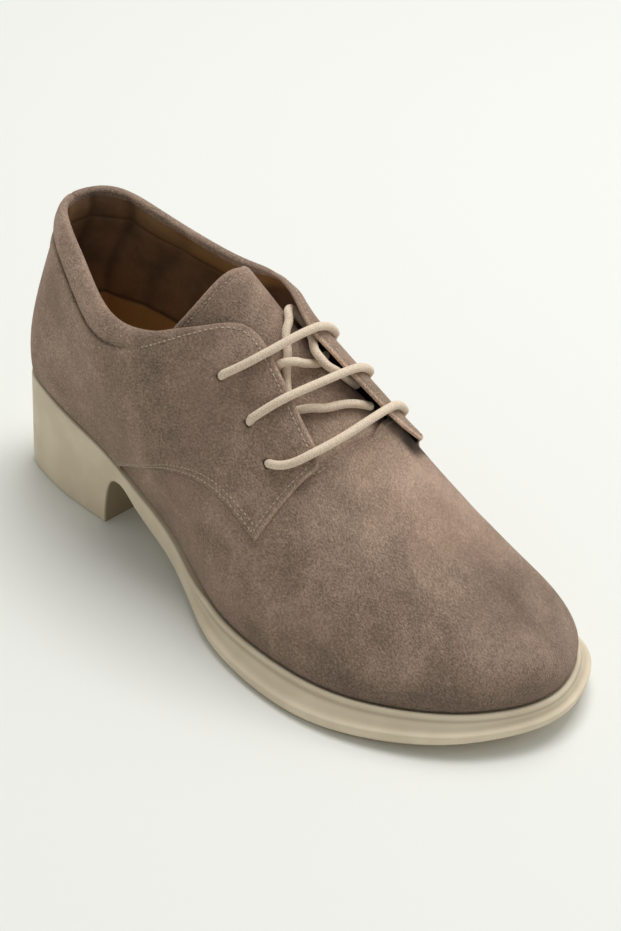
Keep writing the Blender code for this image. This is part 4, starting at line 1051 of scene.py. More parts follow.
def quarter_grid():
    """The grid over both quarters and what their relief and marks are drawn from.

    U and h are stations and heights, a and b the shares along and up, and rise and plain the
    outer face without its relief. Top, low and front are distances in metres from the upper
    edge, the lower edge and the nearer flap front, edge is the less of top and front, and run
    is the distance along each line. Below is how deep the collar seam lies, and inset is top
    less the part of it beyond the facing's stitches. Seam is 1 where the quarters lie over the
    vamp, strip is 1 on the padded collar, and back_seam is a bell across the middle of the
    back, where the way from there to a flap's front is 190 mm."""
    along = np.concatenate([np.linspace(0.0, 0.62, 96), np.linspace(0.6236, 1.0, 112)])
    u, h, a, b = quarter_places(along, 88)
    rise = quarter_rise(u, a, b)
    plain = offset(u, h, rise)
    top, low = across_rows(plain)
    run = run_length(plain)
    front = np.minimum(run, run[-1:] - run)
    below = seam_distance(a)
    return SimpleNamespace(
        u=u, h=h, a=a, b=b, rise=rise, plain=plain, top=top, low=low, run=run, front=front,
        edge=np.minimum(top, front), below=below, inset=top - (below - FACING_STITCH * MM),
        seam=smooth_step(4.0, 4.8, fold(u)[0]), strip=collar_share(a),
        back_seam=bell(np.abs(a) * 190.0 * MM, 0.0, 0.7 * MM))


def quarter_relief(grid):
    """Height in metres of the fine forms on the quarters' outer face.

    The soft creases and the padded collar strip, less a squared roll at the edges and bells
    along the collar seam, the stitch lines and the back seam. Puckers beside the seams are the
    product of two sines of the run."""
    relief = creased(grid.plain, QUARTER_CREASES) * smooth_step(0.0, 12.0 * MM, grid.top)
    relief -= 0.35 * MM * np.clip(1.0 - grid.edge / (EDGE_ROLL * MM), 0.0, 1.0) ** 2
    low_roll = np.clip(1.0 - grid.low / (0.9 * MM), 0.0, 1.0) ** 2
    relief -= low_roll * MM * (0.35 * grid.seam + 0.30 * (1.0 - grid.seam))
    pucker = np.sin(grid.run / (0.8 * MM)) * np.sin(grid.run / (2.1 * MM) + 1.0)
    groove = bell(grid.top, grid.below, 0.65 * MM)
    relief += grid.strip * (0.60 * MM * bell(grid.top, 4.6 * MM, 3.4 * MM) - 0.85 * MM * groove
                            + 0.07 * MM * pucker * bell(grid.top, COLLAR_SEAM * MM, 2.6 * MM)
                            + 0.25 * MM * bell(grid.top, (COLLAR_SEAM + 3.2) * MM, 2.2 * MM))
    facing = (1.0 - grid.strip) * bell(np.minimum(grid.inset, grid.front), FACING_STITCH * MM, 0.55 * MM)
    relief -= 0.20 * MM * facing * (1.0 + 0.5 * pucker)
    for distance in SEAM_STITCHES:
        relief -= 0.20 * MM * grid.seam * bell(grid.low, distance * MM, 0.5 * MM) * (1.0 + 0.5 * pucker)
    return relief - 0.30 * MM * grid.back_seam


def quarter_marks(grid):
    """Marks of pale tone and painted light, and of painted shade, on the quarters' outer face.

    The first is wear on the flaps' folded edges and a painted highlight on the padded collar's
    crown and round the heel. The second, deep, is painted shade along the collar seam, the back
    seam and the lower edges."""
    # Wear: paler folded edges on the flaps, more on the inner one.
    pale_tone_and_painted_light = bell(grid.edge, 0.0, 0.40 * MM) * smooth_step(0.55, 0.75, np.abs(grid.a))
    pale_tone_and_painted_light = pale_tone_and_painted_light * np.where(grid.a < 0.0, 0.9, 0.5)
    # Painted highlight on the crown of the padded collar and round the heel.
    pale_tone_and_painted_light = np.maximum(pale_tone_and_painted_light, 0.26 * grid.strip * bell(grid.top, 4.6 * MM, 4.0 * MM))
    pale_tone_and_painted_light = np.maximum(pale_tone_and_painted_light, 0.12 * (1.0 - smooth_step(0.22, 0.42, np.abs(grid.a))))
    # Painted shade in the collar seam, the back seam and along the lower edges.
    deep = np.maximum(0.75 * grid.strip * bell(grid.top, grid.below, 0.6 * MM), 0.35 * grid.back_seam)
    deep = np.maximum(deep, 0.8 * (1.0 - grid.seam) * bell(grid.low, 0.0, 0.7 * MM))
    deep = np.maximum(deep, 0.5 * grid.seam * bell(grid.low, 0.0, 0.5 * MM))
    return pale_tone_and_painted_light, deep


def lining_folds(grid):
    """Depth in metres of the lining's upright folds, and the painted shade of its pleats from 0 to 1."""
    folds = np.zeros_like(grid.a)
    pleat_painted_shade = np.zeros_like(grid.a)
    for centre, depth, width in LINING_FOLDS:
        line = bell(grid.a + 0.010 * np.sin(9.0 * grid.b), centre, width) * smooth_step(0.10, 0.45, grid.b)
        folds += depth * MM * line * (1.0 - 0.75 * smooth_step(0.93, 1.0, grid.b))
        pleat_painted_shade = np.maximum(pleat_painted_shade, np.clip(-0.42 * depth, 0.0, 1.0) * line)
    return folds, pleat_painted_shade


def lining_marks(grid, inner, pleat_painted_shade):
    """Marks of tan and painted light, and of painted shade, on the quarters' lining.

    The first is the tan of the band under the collar, the middle of the back and the heel cup;
    the band lies on the inner side only, where it also stands for the light that falls there.
    The second, deep, is painted shade in the pleats and on the inner flap's back, with dark
    lines at the band's seam and the cup's edge."""
    under_flap = smooth_step(0.60, 0.68, -grid.a)
    # Painted shade in the pleats and, near black, on the inner flap's back; then dark lines at the band's
    # seam and the cup's edge.
    deep = np.maximum(pleat_painted_shade, 0.95 * under_flap)
    deep = np.maximum(deep, 0.45 * bell(grid.top, BAND_SEAM * MM, 0.7 * MM) * grid.strip)
    # Tan band under the collar, on the inner side only, where it also stands for the light that falls
    # there.
    band = 1.0 - smooth_step(7.0 * MM, 15.0 * MM, grid.top)
    pale_tone_and_painted_light = 0.90 * band * smooth_step(0.06, 0.34, -grid.a) * (1.0 - under_flap)
    pale_tone_and_painted_light = np.maximum(pale_tone_and_painted_light, 0.35 * bell(grid.a, 0.025, 0.040) * smooth_step(0.35, 0.85, grid.b))
    cup = CUP_HEIGHT * (1.0 - smooth_step(0.25, 0.62, np.abs(grid.a)))
    above_cup = (inner[..., 2] - inner[:, :1, 2]) / MM - cup
    pale_tone_and_painted_light = np.maximum(pale_tone_and_painted_light, 1.0 - smooth_step(-0.5, 0.5, above_cup))
    deep = np.maximum(deep * smooth_step(-1.0, 1.0, above_cup), 0.75 * bell(above_cup, 0.3, 0.7))
    return pale_tone_and_painted_light, deep


def build_quarters():
    """Quarters: a grid of the last from the inner flap round the heel to the outer one.

    Outer face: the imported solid's rise plus the relief. Inner face: the wall below it, fuller
    in the band under the collar, with the lining's folds. The suede is folded over inside the
    collar, and the eyelets are holes."""
    grid = quarter_grid()
    outer = offset(grid.u, grid.h, grid.rise + quarter_relief(grid))
    folds, pleat_painted_shade = lining_folds(grid)
    inside = 0.35 * bell(grid.top, 5.5 * MM, 3.4 * MM) - 0.45 * bell(grid.top, BAND_SEAM * MM, 0.8 * MM)
    wall = quarter_wall(grid.a, grid.b) + inside * MM * grid.strip + folds
    inner = offset(grid.u, grid.h, grid.rise - np.maximum(wall, 1.2 * MM))
    pale_tone_and_painted_light, deep = quarter_marks(grid)
    lining_tan_and_painted_light, lining_painted_shade_and_seam_lines = lining_marks(grid, inner, pleat_painted_shade)
    clear = 0.12 * MM              # room between the lower edge and the sole
    low_edge = np.where(grid.b == 0.0, clear, 0.0)[..., None] * np.array([0.0, 0.0, 1.0])
    round_edge = np.where((grid.b == 0.0) & (grid.seam < 0.5), 0.0, 0.85)
    holes = []
    for side, places in ((-1.0, EYELETS_OUTER), (1.0, EYELETS_INNER)):
        for place in places:
            centre, axis, _ = eyelet_axis(place, side)
            holes.append((centre, axis, 0.5 * EYELET_DIAMETER))
    turned = (grid.b >= grid.b[:, -TURNED_ROWS:][:, :1]) & (np.abs(grid.a) < 0.62)
    QUARTER_FACE.update(points=outer, top=grid.inset, low=grid.low, front=grid.front, a=grid.a,
                        station=fold(grid.u)[0])
    shell("upper_quarters", outer + low_edge, inner + low_edge, round_edge, [SUEDE, LINING],
          holes=holes, marks={"pale_tone_and_painted_light": (pale_tone_and_painted_light, lining_tan_and_painted_light), "deep": (deep, lining_painted_shade_and_seam_lines)},
          turned=turned, slot_name="suede", nodes=("upper",))


def under_flap_shade(points):
    """Share of dark under the inner flap: full to 4.8 mm from its front edge, gone at 8 mm.

    It fades out toward the low end of that edge, where the flap is sewn down flat."""
    face = QUARTER_FACE
    chosen = (face["front"] == 0.0) & (face["a"] < 0.0)
    edge, above = face["points"][chosen][::3], face["low"][chosen][::3]
    gap = np.full(points.shape[:-1], np.inf)
    for place, extra in zip(edge, 7.0 * MM * (1.0 - smooth_step(7.0 * MM, 15.0 * MM, above))):
        gap = np.minimum(gap, np.linalg.norm(points - place, axis=-1) + extra)
    return 0.88 * (1.0 - smooth_step(4.8 * MM, 8.0 * MM, gap))


def build_vamp():
    """Vamp: a grid from the outer wing round the toe to the inner wing, up to the ridge.

    It follows the last, with the rear edge rolled, a tuck into the welt, and soft creases. The
    mark deep is painted shade along the welt and up the lower wall, at the toe and under the inner
    flap, and a painted highlight brightens the nap on top of the foot, behind the toe."""
    steps = np.concatenate([np.linspace(VAMP_REAR[0, 0], 8.8, 60),
                            np.linspace(8.84, THROAT, 22), np.linspace(9.64, TOE, 84)])
    share = np.linspace(0.0, 1.0, 96)
    stations = np.concatenate([steps, (AROUND - steps)[-2::-1]])
    count, inner_side = fold(stations)
    top = np.where(count >= THROAT, 1.0, np.interp(count, VAMP_REAR[:, 0], VAMP_REAR[:, 1]))
    lean = VAMP_LEAN * smooth_step(7.6, THROAT, count) * (1.0 - smooth_step(THROAT, 12.4, count))
    foot_station = np.where(inner_side, stations - lean, stations + lean)
    u = foot_station[:, None] + (stations - foot_station)[:, None] * share[None, :]
    h = top[:, None] * share[None, :]
    plain = last(u, h)
    from_top, from_low = across_rows(plain)
    rear = (count < THROAT + 0.01)[:, None]
    relief = creased(plain, VAMP_CREASES) * smooth_step(0.0, 8.0 * MM, from_low)
    relief -= 0.45 * MM * np.clip(1.0 - from_low / (1.6 * MM), 0.0, 1.0) ** 2
    relief += 0.25 * MM * bell(from_low, 5.0 * MM, 3.0 * MM)
    relief -= np.where(rear, 0.3 * MM * np.clip(1.0 - from_top / (1.0 * MM), 0.0, 1.0) ** 2, 0.0)
    folded = smooth_step(THROAT, THROAT + 0.6, count)[:, None] * smooth_step(0.965, 1.0, share)
    relief = relief * (1.0 - folded) + folded * relief[:, -1:].mean(axis=1, keepdims=True)
    mate = relief[::-1]
    relief[:, -1] = 0.5 * (relief[:, -1] + mate[:, -1])
    outer = offset(u, h, relief)
    inner = offset(u, h, np.full_like(h, -UPPER_WALL + 0.1 * MM))
    at_ridge = (count >= THROAT)[:, None] & (share == 1.0)[None, :]
    outer = np.where(at_ridge[..., None], 0.5 * (outer + outer[::-1]), outer)
    inner = np.where(at_ridge[..., None], 0.5 * (inner + inner[::-1]), inner)
    round_edge = np.where(h <= 0.001, 0.0, 0.8)
    # Painted shade: dark in the tuck along the welt, fading up the lower 17 mm of the wall, a little over
    # the toe, and under the inner flap.
    deep = np.maximum(0.85 * bell(from_low, 0.0, 0.9 * MM),
                      0.34 * (1.0 - smooth_step(0.0, 17.0 * MM, from_low)))
    deep = np.maximum(deep, 0.12 * smooth_step(TOE - 2.6, TOE - 1.2, count)[:, None])
    # Painted highlight on top of the foot, behind the toe.
    painted_top_highlight = smooth_step(0.35, 0.85, h) * (1.0 - smooth_step(THROAT + 1.6, TOE - 1.0, count))[:, None]
    deep = np.maximum(deep, under_flap_shade(outer))
    VAMP_FACE.update(points=outer, top=from_top, count=count)
    shell("upper_vamp", outer, inner, round_edge, [SUEDE, LINING],
          marks={"deep": (deep, 0.0), "pale_tone_and_painted_light": (0.24 * painted_top_highlight, 0.0)}, slot_name="suede",
          nodes=("upper",))


def tongue_grid(along_count, rows):
    """Points and normals of the tongue's outer face, from one side edge over to the other.

    Its sections are the last's, closed over the foot and set in by the wall, the gap and the
    lace's room. The free edge falls back by the square of the height missing to the ridge."""
    ahead = np.linspace(9.35, TONGUE_FRONT, max(4, along_count // 8))
    along = np.concatenate([np.linspace(TONGUE_BACK, 9.3, along_count), ahead])
    share = np.linspace(0.0, 1.0, rows)
    low = TONGUE_LOW_H + 0.12 * smooth_step(9.0, TONGUE_FRONT, along)
    h = low[:, None] + (1.0 - low[:, None]) * share[None, :]
    free = 1.0 - smooth_step(TONGUE_BACK, 8.4, along)[:, None]
    u = along[:, None] - TONGUE_ROUND * free * (1.0 - h) ** 2
    level = UPPER_WALL + GAP - SEAM_STEP + TONGUE_CLEAR
    level = level - TONGUE_RISE * free * smooth_step(0.3, 0.9, share)
    under_vamp = smooth_step(8.7, 9.2, u)
    depth = level + (UPPER_WALL + GAP + TONGUE_UNDER - level) * under_vamp
    depth = depth + TONGUE_TUCK * free * (1.0 - share[None, :])
    u_all = np.hstack([u, AROUND - u[:, -2::-1]])
    h_all = np.hstack([h, h[:, -2::-1]])
    depth_all = np.hstack([depth, depth[:, -2::-1]])
    base = last(u_all, h_all, all_ridge=True)
    normal = unit(np.cross(np.gradient(base, axis=0), np.gradient(base, axis=1)))
    return base - depth_all[..., None] * normal, normal


def build_tongue():
    """Tongue: closed sections of the last set below it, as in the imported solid.

    The free top edge is rolled and has a stitch groove, and the face has a slow wave."""
    face, normal = tongue_grid(110, 46)
    run = run_length(face)
    across = np.linspace(-1.0, 1.0, face.shape[1])[None, :]
    relief = -0.30 * MM * np.clip(1.0 - run / (1.2 * MM), 0.0, 1.0) ** 2
    relief = relief - 0.22 * MM * bell(run, TONGUE_STITCH * MM, 0.55 * MM)
    wave = np.sin(run / (9.0 * MM) + 2.0 * across)
    relief = relief + 0.20 * MM * wave * bell(run, 22.0 * MM, 14.0 * MM)
    outer = face + relief[..., None] * normal
    inner = face - TONGUE_THICKNESS * normal
    TONGUE_FACE.update(points=outer, run=run)
    # Paler: the rolled top edge as wear, and the whole tongue a little as a painted highlight. Deep:
    # painted shade under the inner flap.
    shell("tongue_suede", outer, inner, 0.8, [SUEDE, LINING],
          marks={"pale_tone_and_painted_light": (0.16 + 0.2 * bell(run, 0.0, 0.9 * MM), 0.0),
                 "deep": (under_flap_shade(outer), 0.0)}, slot_name="suede", nodes=("tongue",))


# Sole and footbed

def build_outsole():
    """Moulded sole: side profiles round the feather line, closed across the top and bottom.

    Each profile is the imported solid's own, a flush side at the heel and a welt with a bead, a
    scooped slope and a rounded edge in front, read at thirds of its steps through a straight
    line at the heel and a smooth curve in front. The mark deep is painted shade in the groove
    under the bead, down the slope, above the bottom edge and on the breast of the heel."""
    breast = [0.0, 0.15, 0.4, 0.8, 1.3, 1.9, 2.6, 3.4, 4.3, 5.2, 6.2]
    near = [station_at(BREAST_X + distance * MM) for distance in breast]
    one_side = np.concatenate([np.linspace(0.0, near[0] - 0.05, 60), near,
                               np.linspace(near[-1] + 0.08, TOE, 130)])
    u = np.concatenate([one_side, (AROUND - one_side)[-2:0:-1]])
    count = len(u)
    foot = feather(u)
    out = outward(u)
    welt_rows = np.vstack([WELT_ROWS[:, :1], WELT_ROWS[-2::-1, 1:]])[:, 0] * WELT_WIDTH
    width = spline(ROUND_NODES, welt_rows, u, closed=True)
    bottom = heel_bottom(foot[:, 0])
    lower, _ = sole_height(foot[:, 0])
    lower = np.where(foot[:, 0] < from_back(SOLE_ROWS[1, 0]), bottom + EDGE_ROUND, lower)
    lower = np.maximum(lower, bottom + EDGE_ROUND)
    top = foot[:, 2] - GAP
    side = top - lower
    rim = smooth_step(0.25 * WELT_WIDTH, 0.6 * WELT_WIDTH, width)
    flush = [(-SOLE_INSET, top), (width - 1.2 * MM, top), (width - 0.8 * MM, top),
             (width - 0.4 * MM, top - 0.1 * MM), (width - 0.1 * MM, top - 0.4 * MM),
             (width, top - 0.9 * MM), (width, top - 0.25 * side), (width, top - 0.42 * side),
             (width, top - 0.58 * side), (width, top - 0.74 * side), (width, top - 0.88 * side),
             (width - 0.2 * MM, lower), (width - 0.6 * MM, bottom + 0.2 * MM),
             (width - 1.3 * MM, bottom)]
    welt = [(-SOLE_INSET, top), (0.5 * MM, top), (0.8 * MM, top + 0.75 * MM),
            (1.4 * MM, top + 0.95 * MM), (2.1 * MM, top + 0.55 * MM),
            (2.35 * MM, top - 0.7 * MM), (0.40 * width + 0.7 * MM, top - 0.26 * side),
            (width - 1.7 * MM, top - 0.48 * side), (width - 0.15 * MM, top - 0.56 * side),
            (width, top - 0.70 * side), (width - 0.15 * MM, top - 0.88 * side),
            (width - 0.8 * MM, lower), (width - 2.0 * MM, bottom + 0.35 * MM),
            (width - 3.0 * MM, bottom)]
    profile = np.array([[(1.0 - rim) * near_in + rim * far_in, (1.0 - rim) * high + rim * raised]
                        for (near_in, high), (far_in, raised) in zip(flush, welt)])
    marks = np.arange(len(flush), dtype=float)
    fine = np.unique(np.concatenate([marks, np.linspace(1.0, 12.0, 34)]))
    smooth = spline(marks, profile.reshape(len(flush), -1), fine).reshape(len(fine), 2, count)
    straight = np.stack([np.array([np.interp(fine, marks, profile[:, axis, c]) for c in range(count)]).T
                         for axis in (0, 1)], axis=1)
    soft = rim[None, None, :]
    rings = soft * smooth + (1.0 - soft) * straight
    points = np.concatenate([foot[None, :, :2] + rings[:, 0, :, None] * out[None],
                             rings[:, 1, :, None]], axis=-1)
    rows = len(fine)
    quads = [grid_quads(rows, count)]
    half = len(one_side) - 1
    c = np.arange(half)
    for base in (0, (rows - 1) * count):
        rung = base + np.column_stack([c, c + 1, count - c - 1, (count - c) % count])
        rung[0, 3] = rung[0, 0]
        rung[-1, 2] = rung[-1, 1]
        quads.append(rung if base else rung[:, ::-1])
    piece = add_piece("sole_moulded", points.reshape(-1, 3), np.vstack(quads), [RUBBER],
                      slot_name="sole_rubber", nodes=("outsole",), sharp=42.0)
    # Painted shade: in the groove under the bead, down the slope and above the bottom edge, and on the
    # breast of the heel.
    groove = 0.50 * bell(fine, 5.2, 0.40) + 0.20 * bell(fine, 6.6, 0.7) + 0.25 * bell(fine, 11.5, 0.8)
    past = (foot[:, 0] - BREAST_X) / MM
    breast = smooth_step(-0.6, 0.0, past) * (1.0 - smooth_step(6.0, 22.0, past))
    shade = np.maximum(groove[:, None] * rim[None, :],
                       0.9 * smooth_step(11.6, 12.6, fine)[:, None] * breast[None, :])
    set_mark(piece, "deep", shade)


def build_insole():
    """Footbed: rungs across inside the feather line, with a dished face.

    The face falls to its middle line, by one less the share across to the power 2.5."""
    one_side = np.concatenate([np.linspace(0.0, 2.0, 40), np.linspace(2.05, TOE, 120)])
    share = np.linspace(-1.0, 1.0, 33)
    outer = feather(one_side)
    inner = feather(AROUND - one_side)
    edge = -(UPPER_WALL + GAP)
    outer = outer + np.column_stack([edge * outward(one_side), np.zeros(len(one_side))])
    inner = inner + np.column_stack([edge * outward(AROUND - one_side), np.zeros(len(one_side))])
    grid = 0.5 * (outer + inner)[:, None] + 0.5 * share[None, :, None] * (outer - inner)[:, None]
    base = grid[..., 2]
    dish = DISH_DEPTH * (1.0 - np.abs(share[None, :]) ** 2.5)
    top = grid.copy()
    top[..., 2] = base + INSOLE_THICKNESS - dish
    low = grid.copy()
    low[..., 2] = base + 0.02 * MM
    shell("footbed_leather", top, low, 0.15, [FOOTBED, FOOTBED], slot_name="footbed",
          nodes=("insole",))


# Stitches

def grid_normals(points, toward):
    """Unit normals of a grid of points, on the side that toward points to at its middle."""
    normal = unit(np.cross(np.gradient(points, axis=0), np.gradient(points, axis=1)))
    middle = normal[len(points) // 2, points.shape[1] // 2]
    return normal if np.dot(middle, toward) > 0.0 else -normal


def crossing(field, level, values):
    """The values where each line of a field first comes to a level.

    Lines run along the last axis, and the place is read between the two points that span it.
    Lines that never span it are left out."""
    over = field >= level
    turn = over[:, :-1] != over[:, 1:]
    lines = np.nonzero(turn.any(axis=1))[0]
    first = turn[lines].argmax(axis=1)
    low, high = field[lines, first], field[lines, first + 1]
    share = ((level - low) / (high - low))[:, None]
    return values[lines, first] * (1.0 - share) + values[lines, first + 1] * share


def smooth_row(found):
    """Even path and unit normals from rows of point and normal."""
    run = run_length(found[:, :3])
    keep = np.concatenate([[True], np.diff(run) > 0.05 * MM])
    found, run = found[keep], run[keep]
    places = np.linspace(0.0, run[-1], max(4, int(run[-1] / (0.6 * MM))))
    read = np.column_stack([np.interp(places, run, found[:, k]) for k in range(6)])
    kernel = np.array([1.0, 2.0, 3.0, 2.0, 1.0]) / 9.0
    if len(read) > 12:
        padded = np.vstack([read[:1]] * 2 + [read] + [read[-1:]] * 2)
        read = np.column_stack([np.convolve(padded[:, k], kernel, mode="valid") for k in range(6)])
    return read[:, :3], unit(read[:, 3:])


def quarter_stitches():
    """Rows along each facing, from the collar round the front corner to the lower tip, and the
    double row above each seam over the vamp."""
    face = QUARTER_FACE
    fields = [face[key][..., None] for key in ("top", "low", "front", "station")]
    normals = grid_normals(face["points"], (-1.0, 0.0, 0.2))
    values = np.concatenate([face["points"], normals] + fields, axis=-1)
    stitch = FACING_STITCH * MM
    rows = []
    for sign in (-1.0, 1.0):
        near = values[(face["a"][:, 0] * sign) > 0.35][::int(sign)]
        top, low, front = near[..., 6], near[..., 7], near[..., 8]
        upper = crossing(-top, -stitch, near)
        upper = upper[upper[:, 8] > 2.4 * stitch]
        fore = crossing(-front.T, -stitch, near.transpose(1, 0, 2))
        fore = fore[(fore[:, 6] > 2.4 * stitch) & (fore[:, 7] > 0.8 * stitch)][::-1]
        rows.append(smooth_row(np.vstack([upper[:, :6], fore[:, :6]])))
        for distance in SEAM_STITCHES:
            seam = crossing(low, distance * MM, near)
            seam = seam[(seam[:, 8] > 1.2 * stitch) & (seam[:, 9] > 4.35)]
            rows.append(smooth_row(seam[:, :6]))
    return rows


def tack_stitches():
    """Three short threads across the lower tip of each flap, where the seams are locked."""
    points = QUARTER_FACE["points"]
    normals = grid_normals(points, (-1.0, 0.0, 0.2))
    lines = (3, 5, 7, -4, -6, -8)  # of the grid, near the inner and the outer flap's front
    return [(points[line, 1:9], normals[line, 1:9]) for line in lines]


def vamp_stitches():
    """Row along the vamp's rear edge between the flaps, over the foot."""
    face = VAMP_FACE
    normals = grid_normals(face["points"], (1.0, 0.0, 0.5))
    values = np.concatenate([face["points"], normals], axis=-1)
    rear = (face["count"] > 8.7) & (face["count"] < THROAT + 0.005)
    found = crossing(-face["top"][rear], -VAMP_STITCH * MM, values[rear])
    return [smooth_row(found)]


def tongue_stitches():
    """Row along the tongue's free top edge."""
    points = TONGUE_FACE["points"]
    values = np.concatenate([points, grid_normals(points, (0.0, 0.0, 1.0))], axis=-1)
    found = crossing(TONGUE_FACE["run"].T, TONGUE_STITCH * MM, values.transpose(1, 0, 2))
    return [smooth_row(found)]


def add_stitches(name, rows):
    """Threads of stitched seams: each stitch is a small capsule sunk at both ends.

    Rows are (path, normals). A stitch runs for its length along the path and rises as a half
    sine, with a round section that narrows to its ends."""
    sides, rings = 7, 7
    angle = np.linspace(0.0, 2.0 * math.pi, sides, endpoint=False)
    share = np.linspace(0.0, 1.0, rings)
    points, faces, base = [], [], 0
    quads = grid_quads(rings, sides)
    for path, normals in rows:
        run = run_length(path)
        count = int(run[-1] / (STITCH_PITCH * MM))
        if count < 1:
            continue
        centre = (np.arange(count) + 0.5) * run[-1] / count
        where = centre[:, None] + (share[None, :] - 0.5) * STITCH_LENGTH * MM
        middle = np.stack([np.interp(where, run, path[:, k]) for k in range(3)], axis=-1)
        normal = unit(np.stack([np.interp(where, run, normals[:, k]) for k in range(3)], axis=-1))
        tangent = unit(np.gradient(middle, axis=1))
        side = unit(np.cross(normal, tangent))
        lift = (STITCH_RISE * np.sin(np.pi * share) - 0.5 * STITCH_RISE) * MM
        middle = middle + lift[None, :, None] * normal
        thick = STITCH_RADIUS * np.sqrt(np.clip(1.0 - (2.0 * share - 1.0) ** 4, 0.02, 1.0))
        ring = (np.cos(angle)[None, None, :, None] * side[:, :, None, :]
                + np.sin(angle)[None, None, :, None] * normal[:, :, None, :])
        tube_points = middle[:, :, None, :] + thick[None, :, None, None] * ring
        points.append(tube_points.reshape(-1, 3))
        shift = base + np.arange(count)[:, None, None] * sides * rings
        faces.append((quads[None] + shift).reshape(-1, 4))
        caps = np.array([[k, 0, 0, (k + 1) % sides] for k in range(1, sides - 1)])
        ends = np.vstack([caps, (caps + (rings - 1) * sides)[:, ::-1]])
        faces.append((ends[None] + shift).reshape(-1, 4))
        base += count * sides * rings
    add_piece(name, np.vstack(points), np.vstack(faces), [THREAD], sharp=60.0)


def build_stitches():
    """All the stitched rows of the upper and the tongue."""
    add_stitches("stitches_quarters", quarter_stitches())
    add_stitches("stitches_tacks", tack_stitches())
    add_stitches("stitches_vamp", vamp_stitches())
    add_stitches("stitches_tongue", tongue_stitches())


# Laces

def strand_points(rows, over_flaps):
    """Points of a lace strand from its (station, height, distance above the last) rows.

    A strand over the flaps is measured from the last as the quarters follow it, and any other
    from the last as the tongue does, whose sections all close over the foot."""
    u, h = signed_places(rows)
    return offset(u, h, np.array(rows)[:, 2] * MM, all_ridge=not over_flaps)


def lace(name, path):
    """A strand of lace along its middle line, in place of the solid of that name."""
    return tube(name + "_braid", path, 0.5 * LACE_DIAMETER, LACE, slot_name="lace_cord",
                nodes=(name,))


def eyelet_points(place, side, toward):
    """Ends of a bar in an eyelet: below the flap's inner face, then out of the hole.

    The lace is pulled against the rim on the side of the point it runs toward."""
    centre, axis, rise = eyelet_axis(place, side)
    pull = toward - centre
    pull = unit(pull - np.dot(pull, axis) * axis)
    levels = ((rise - UPPER_WALL - 0.5 * MM, 0.1 * MM), (rise - 0.5 * MM, 0.75 * MM),
              (rise + 0.75 * MM, 1.9 * MM))
    return np.array([centre + level * axis + shift * pull for level, shift in levels])


def pull_taut(path, away, faces, strands, slide):
    """Pulls a strand straight over what it lies on.

    Each round moves every point halfway to the middle of its neighbours, by all of the part
    along its direction away from the last and by the share slide of the part across it, and
    then back out until it clears the faces by the lace's radius and the other strands by its
    diameter. The points inside the eyelets stay."""
    margin = 6.0 * MM              # faces farther than this from the strand's box are left out
    reach = 3.0 * MM               # only a face nearer than this pushes
    surface = np.vstack([points.reshape(-1, 3) for points, _ in faces])
    normals = np.vstack([normal.reshape(-1, 3) for _, normal in faces])
    low, high = path.min(axis=0) - margin, path.max(axis=0) + margin
    near = np.all((surface > low) & (surface < high), axis=1)
    surface, normals = surface[near], normals[near]
    others = np.vstack(strands)
    clear = 0.5 * LACE_DIAMETER + LACE_CLEAR
    run = run_length(path)
    free = (run > BAR_HELD) & (run < run[-1] - BAR_HELD)
    path = path.copy()
    for _ in range(TAUT_ROUNDS):
        middle = 0.5 * (path[:-2] + path[2:]) - path[1:-1]
        rise = np.sum(middle * away[1:-1], axis=1, keepdims=True) * away[1:-1]
        move = 0.5 * (rise + slide * (middle - rise))
        path[1:-1] += np.where(free[1:-1, None], move, 0.0)
        gaps = np.linalg.norm(path[:, None, :] - surface[None], axis=-1)
        nearest = gaps.argmin(axis=1)
        stand = np.sum((path - surface[nearest]) * normals[nearest], axis=1)
        push = np.clip(clear - stand, 0.0, 1.0 * MM) * (gaps.min(axis=1) < reach)
        path += np.where(free, push, 0.0)[:, None] * away
        gaps = np.linalg.norm(path[:, None, :] - others[None], axis=-1).min(axis=1)
        push = np.clip(LACE_DIAMETER + LACE_CLEAR - gaps, 0.0, 0.5 * MM)
        path += np.where(free, push, 0.0)[:, None] * away
    return path


def build_cords():
    """The two loose strands beside the tongue, as lace tubes. Gives back their paths."""
    paths = []
    for name, rows in (("lace_loop", LOOP_ROWS), ("lace_end", END_ROWS)):
        path = even_path(strand_points(rows, False), LACE_PITCH)
        paths.append(path)
        piece = lace(name, path)
    return paths


def build_under_strands():
    """The two strands that cross under the bars. Gives back their paths."""
    paths = [even_path(strand_points(rows, False), LACE_PITCH) for rows in UNDER_ROWS]
    for k, path in enumerate(paths):
        lace(f"lace_under_{k + 1}", path)
    return paths


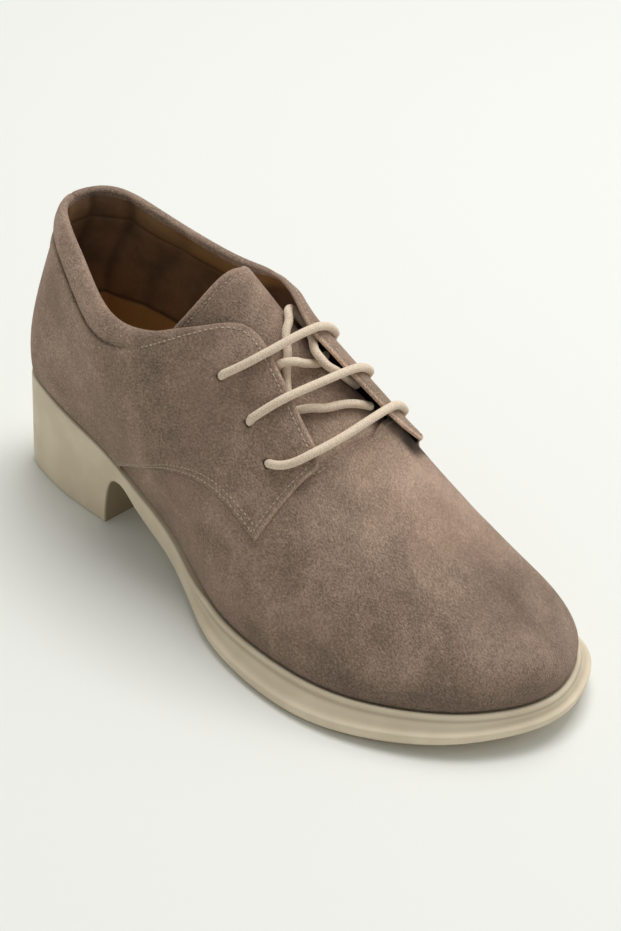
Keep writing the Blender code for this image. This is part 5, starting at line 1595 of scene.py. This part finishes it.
def build_bars(strands):
    """Three bars through the eyelets, pulled taut over the flaps and the strands under them."""
    quarters, tongue = QUARTER_FACE["points"], TONGUE_FACE["points"]
    faces = [(quarters, grid_normals(quarters, (-1.0, 0.0, 0.2))),
             (tongue, grid_normals(tongue, (0.0, 0.0, 1.0)))]
    for k, rows in enumerate(BAR_ROWS):
        middle = strand_points(rows, True)
        start = eyelet_points(EYELETS_OUTER[k], -1.0, middle[1])
        end = eyelet_points(EYELETS_INNER[k], 1.0, middle[-2])[::-1]
        route = np.vstack([start, middle, end])
        path = even_path(route, LACE_PITCH)
        away = last_normal(*signed_places(rows))
        away = np.vstack([away[:1]] * 3 + [away] + [away[-1:]] * 3)
        run, marks = run_length(path), run_length(route)
        marks = marks * run[-1] / marks[-1]
        away = unit(np.column_stack([np.interp(run, marks, away[:, j]) for j in range(3)]))
        lace(f"lace_bar_{k + 1}", pull_taut(path, away, faces, strands, BAR_SLIDE[k]))


# Studio

# Lamps: name, place, point it faces, side of its square panel in metres, power in watts
LAMPS = (
    ("panel_above", (-0.08, 0.52, 1.90), (0.08, 0.0, 0.05), 1.2, 28.0),
    ("panel_right", (0.72, 0.70, 0.80), (0.10, 0.0, 0.05), 0.9, 2.2),
)
FLOOR_REACH = 4.0
AIR_STRENGTH = 0.42


def build_studio():
    """Plain pale floor and soft light: a wide panel above, a weak one at the right, pale air."""
    floor = bpy.data.meshes.new("floor")
    reach = FLOOR_REACH
    floor.from_pydata([(-reach, -reach, 0.0), (reach, -reach, 0.0), (reach, reach, 0.0),
                       (-reach, reach, 0.0)], [], [(0, 1, 2, 3)])
    floor.materials.append(studio_floor("pale_studio_floor", "#ebece7"))
    plane = bpy.data.objects.new("floor", floor)
    bpy.context.scene.collection.objects.link(plane)
    bpy.context.scene.view_settings.view_transform = "Standard"
    world = bpy.data.worlds.new("pale_air")
    world.use_nodes = True
    back = world.node_tree.nodes["Background"]
    back.inputs["Color"].default_value = linear("#f4f5f1")
    back.inputs["Strength"].default_value = AIR_STRENGTH
    bpy.context.scene.world = world
    for name, place, aim, size, power in LAMPS:
        light = bpy.data.lights.new(name, "AREA")
        light.shape = "SQUARE"
        light.size = size
        light.energy = power
        lamp = bpy.data.objects.new(name, light)
        bpy.context.scene.collection.objects.link(lamp)
        back_way = unit(np.array(place) - np.array(aim))
        right = unit(np.cross([0.0, 0.0, 1.0], back_way))
        stand_at(lamp, right, np.cross(back_way, right), place)


STRANDS = build_cords() + build_under_strands()
build_outsole()
build_insole()
build_quarters()
build_vamp()
build_tongue()
build_bars(STRANDS)
build_stitches()
build_studio()
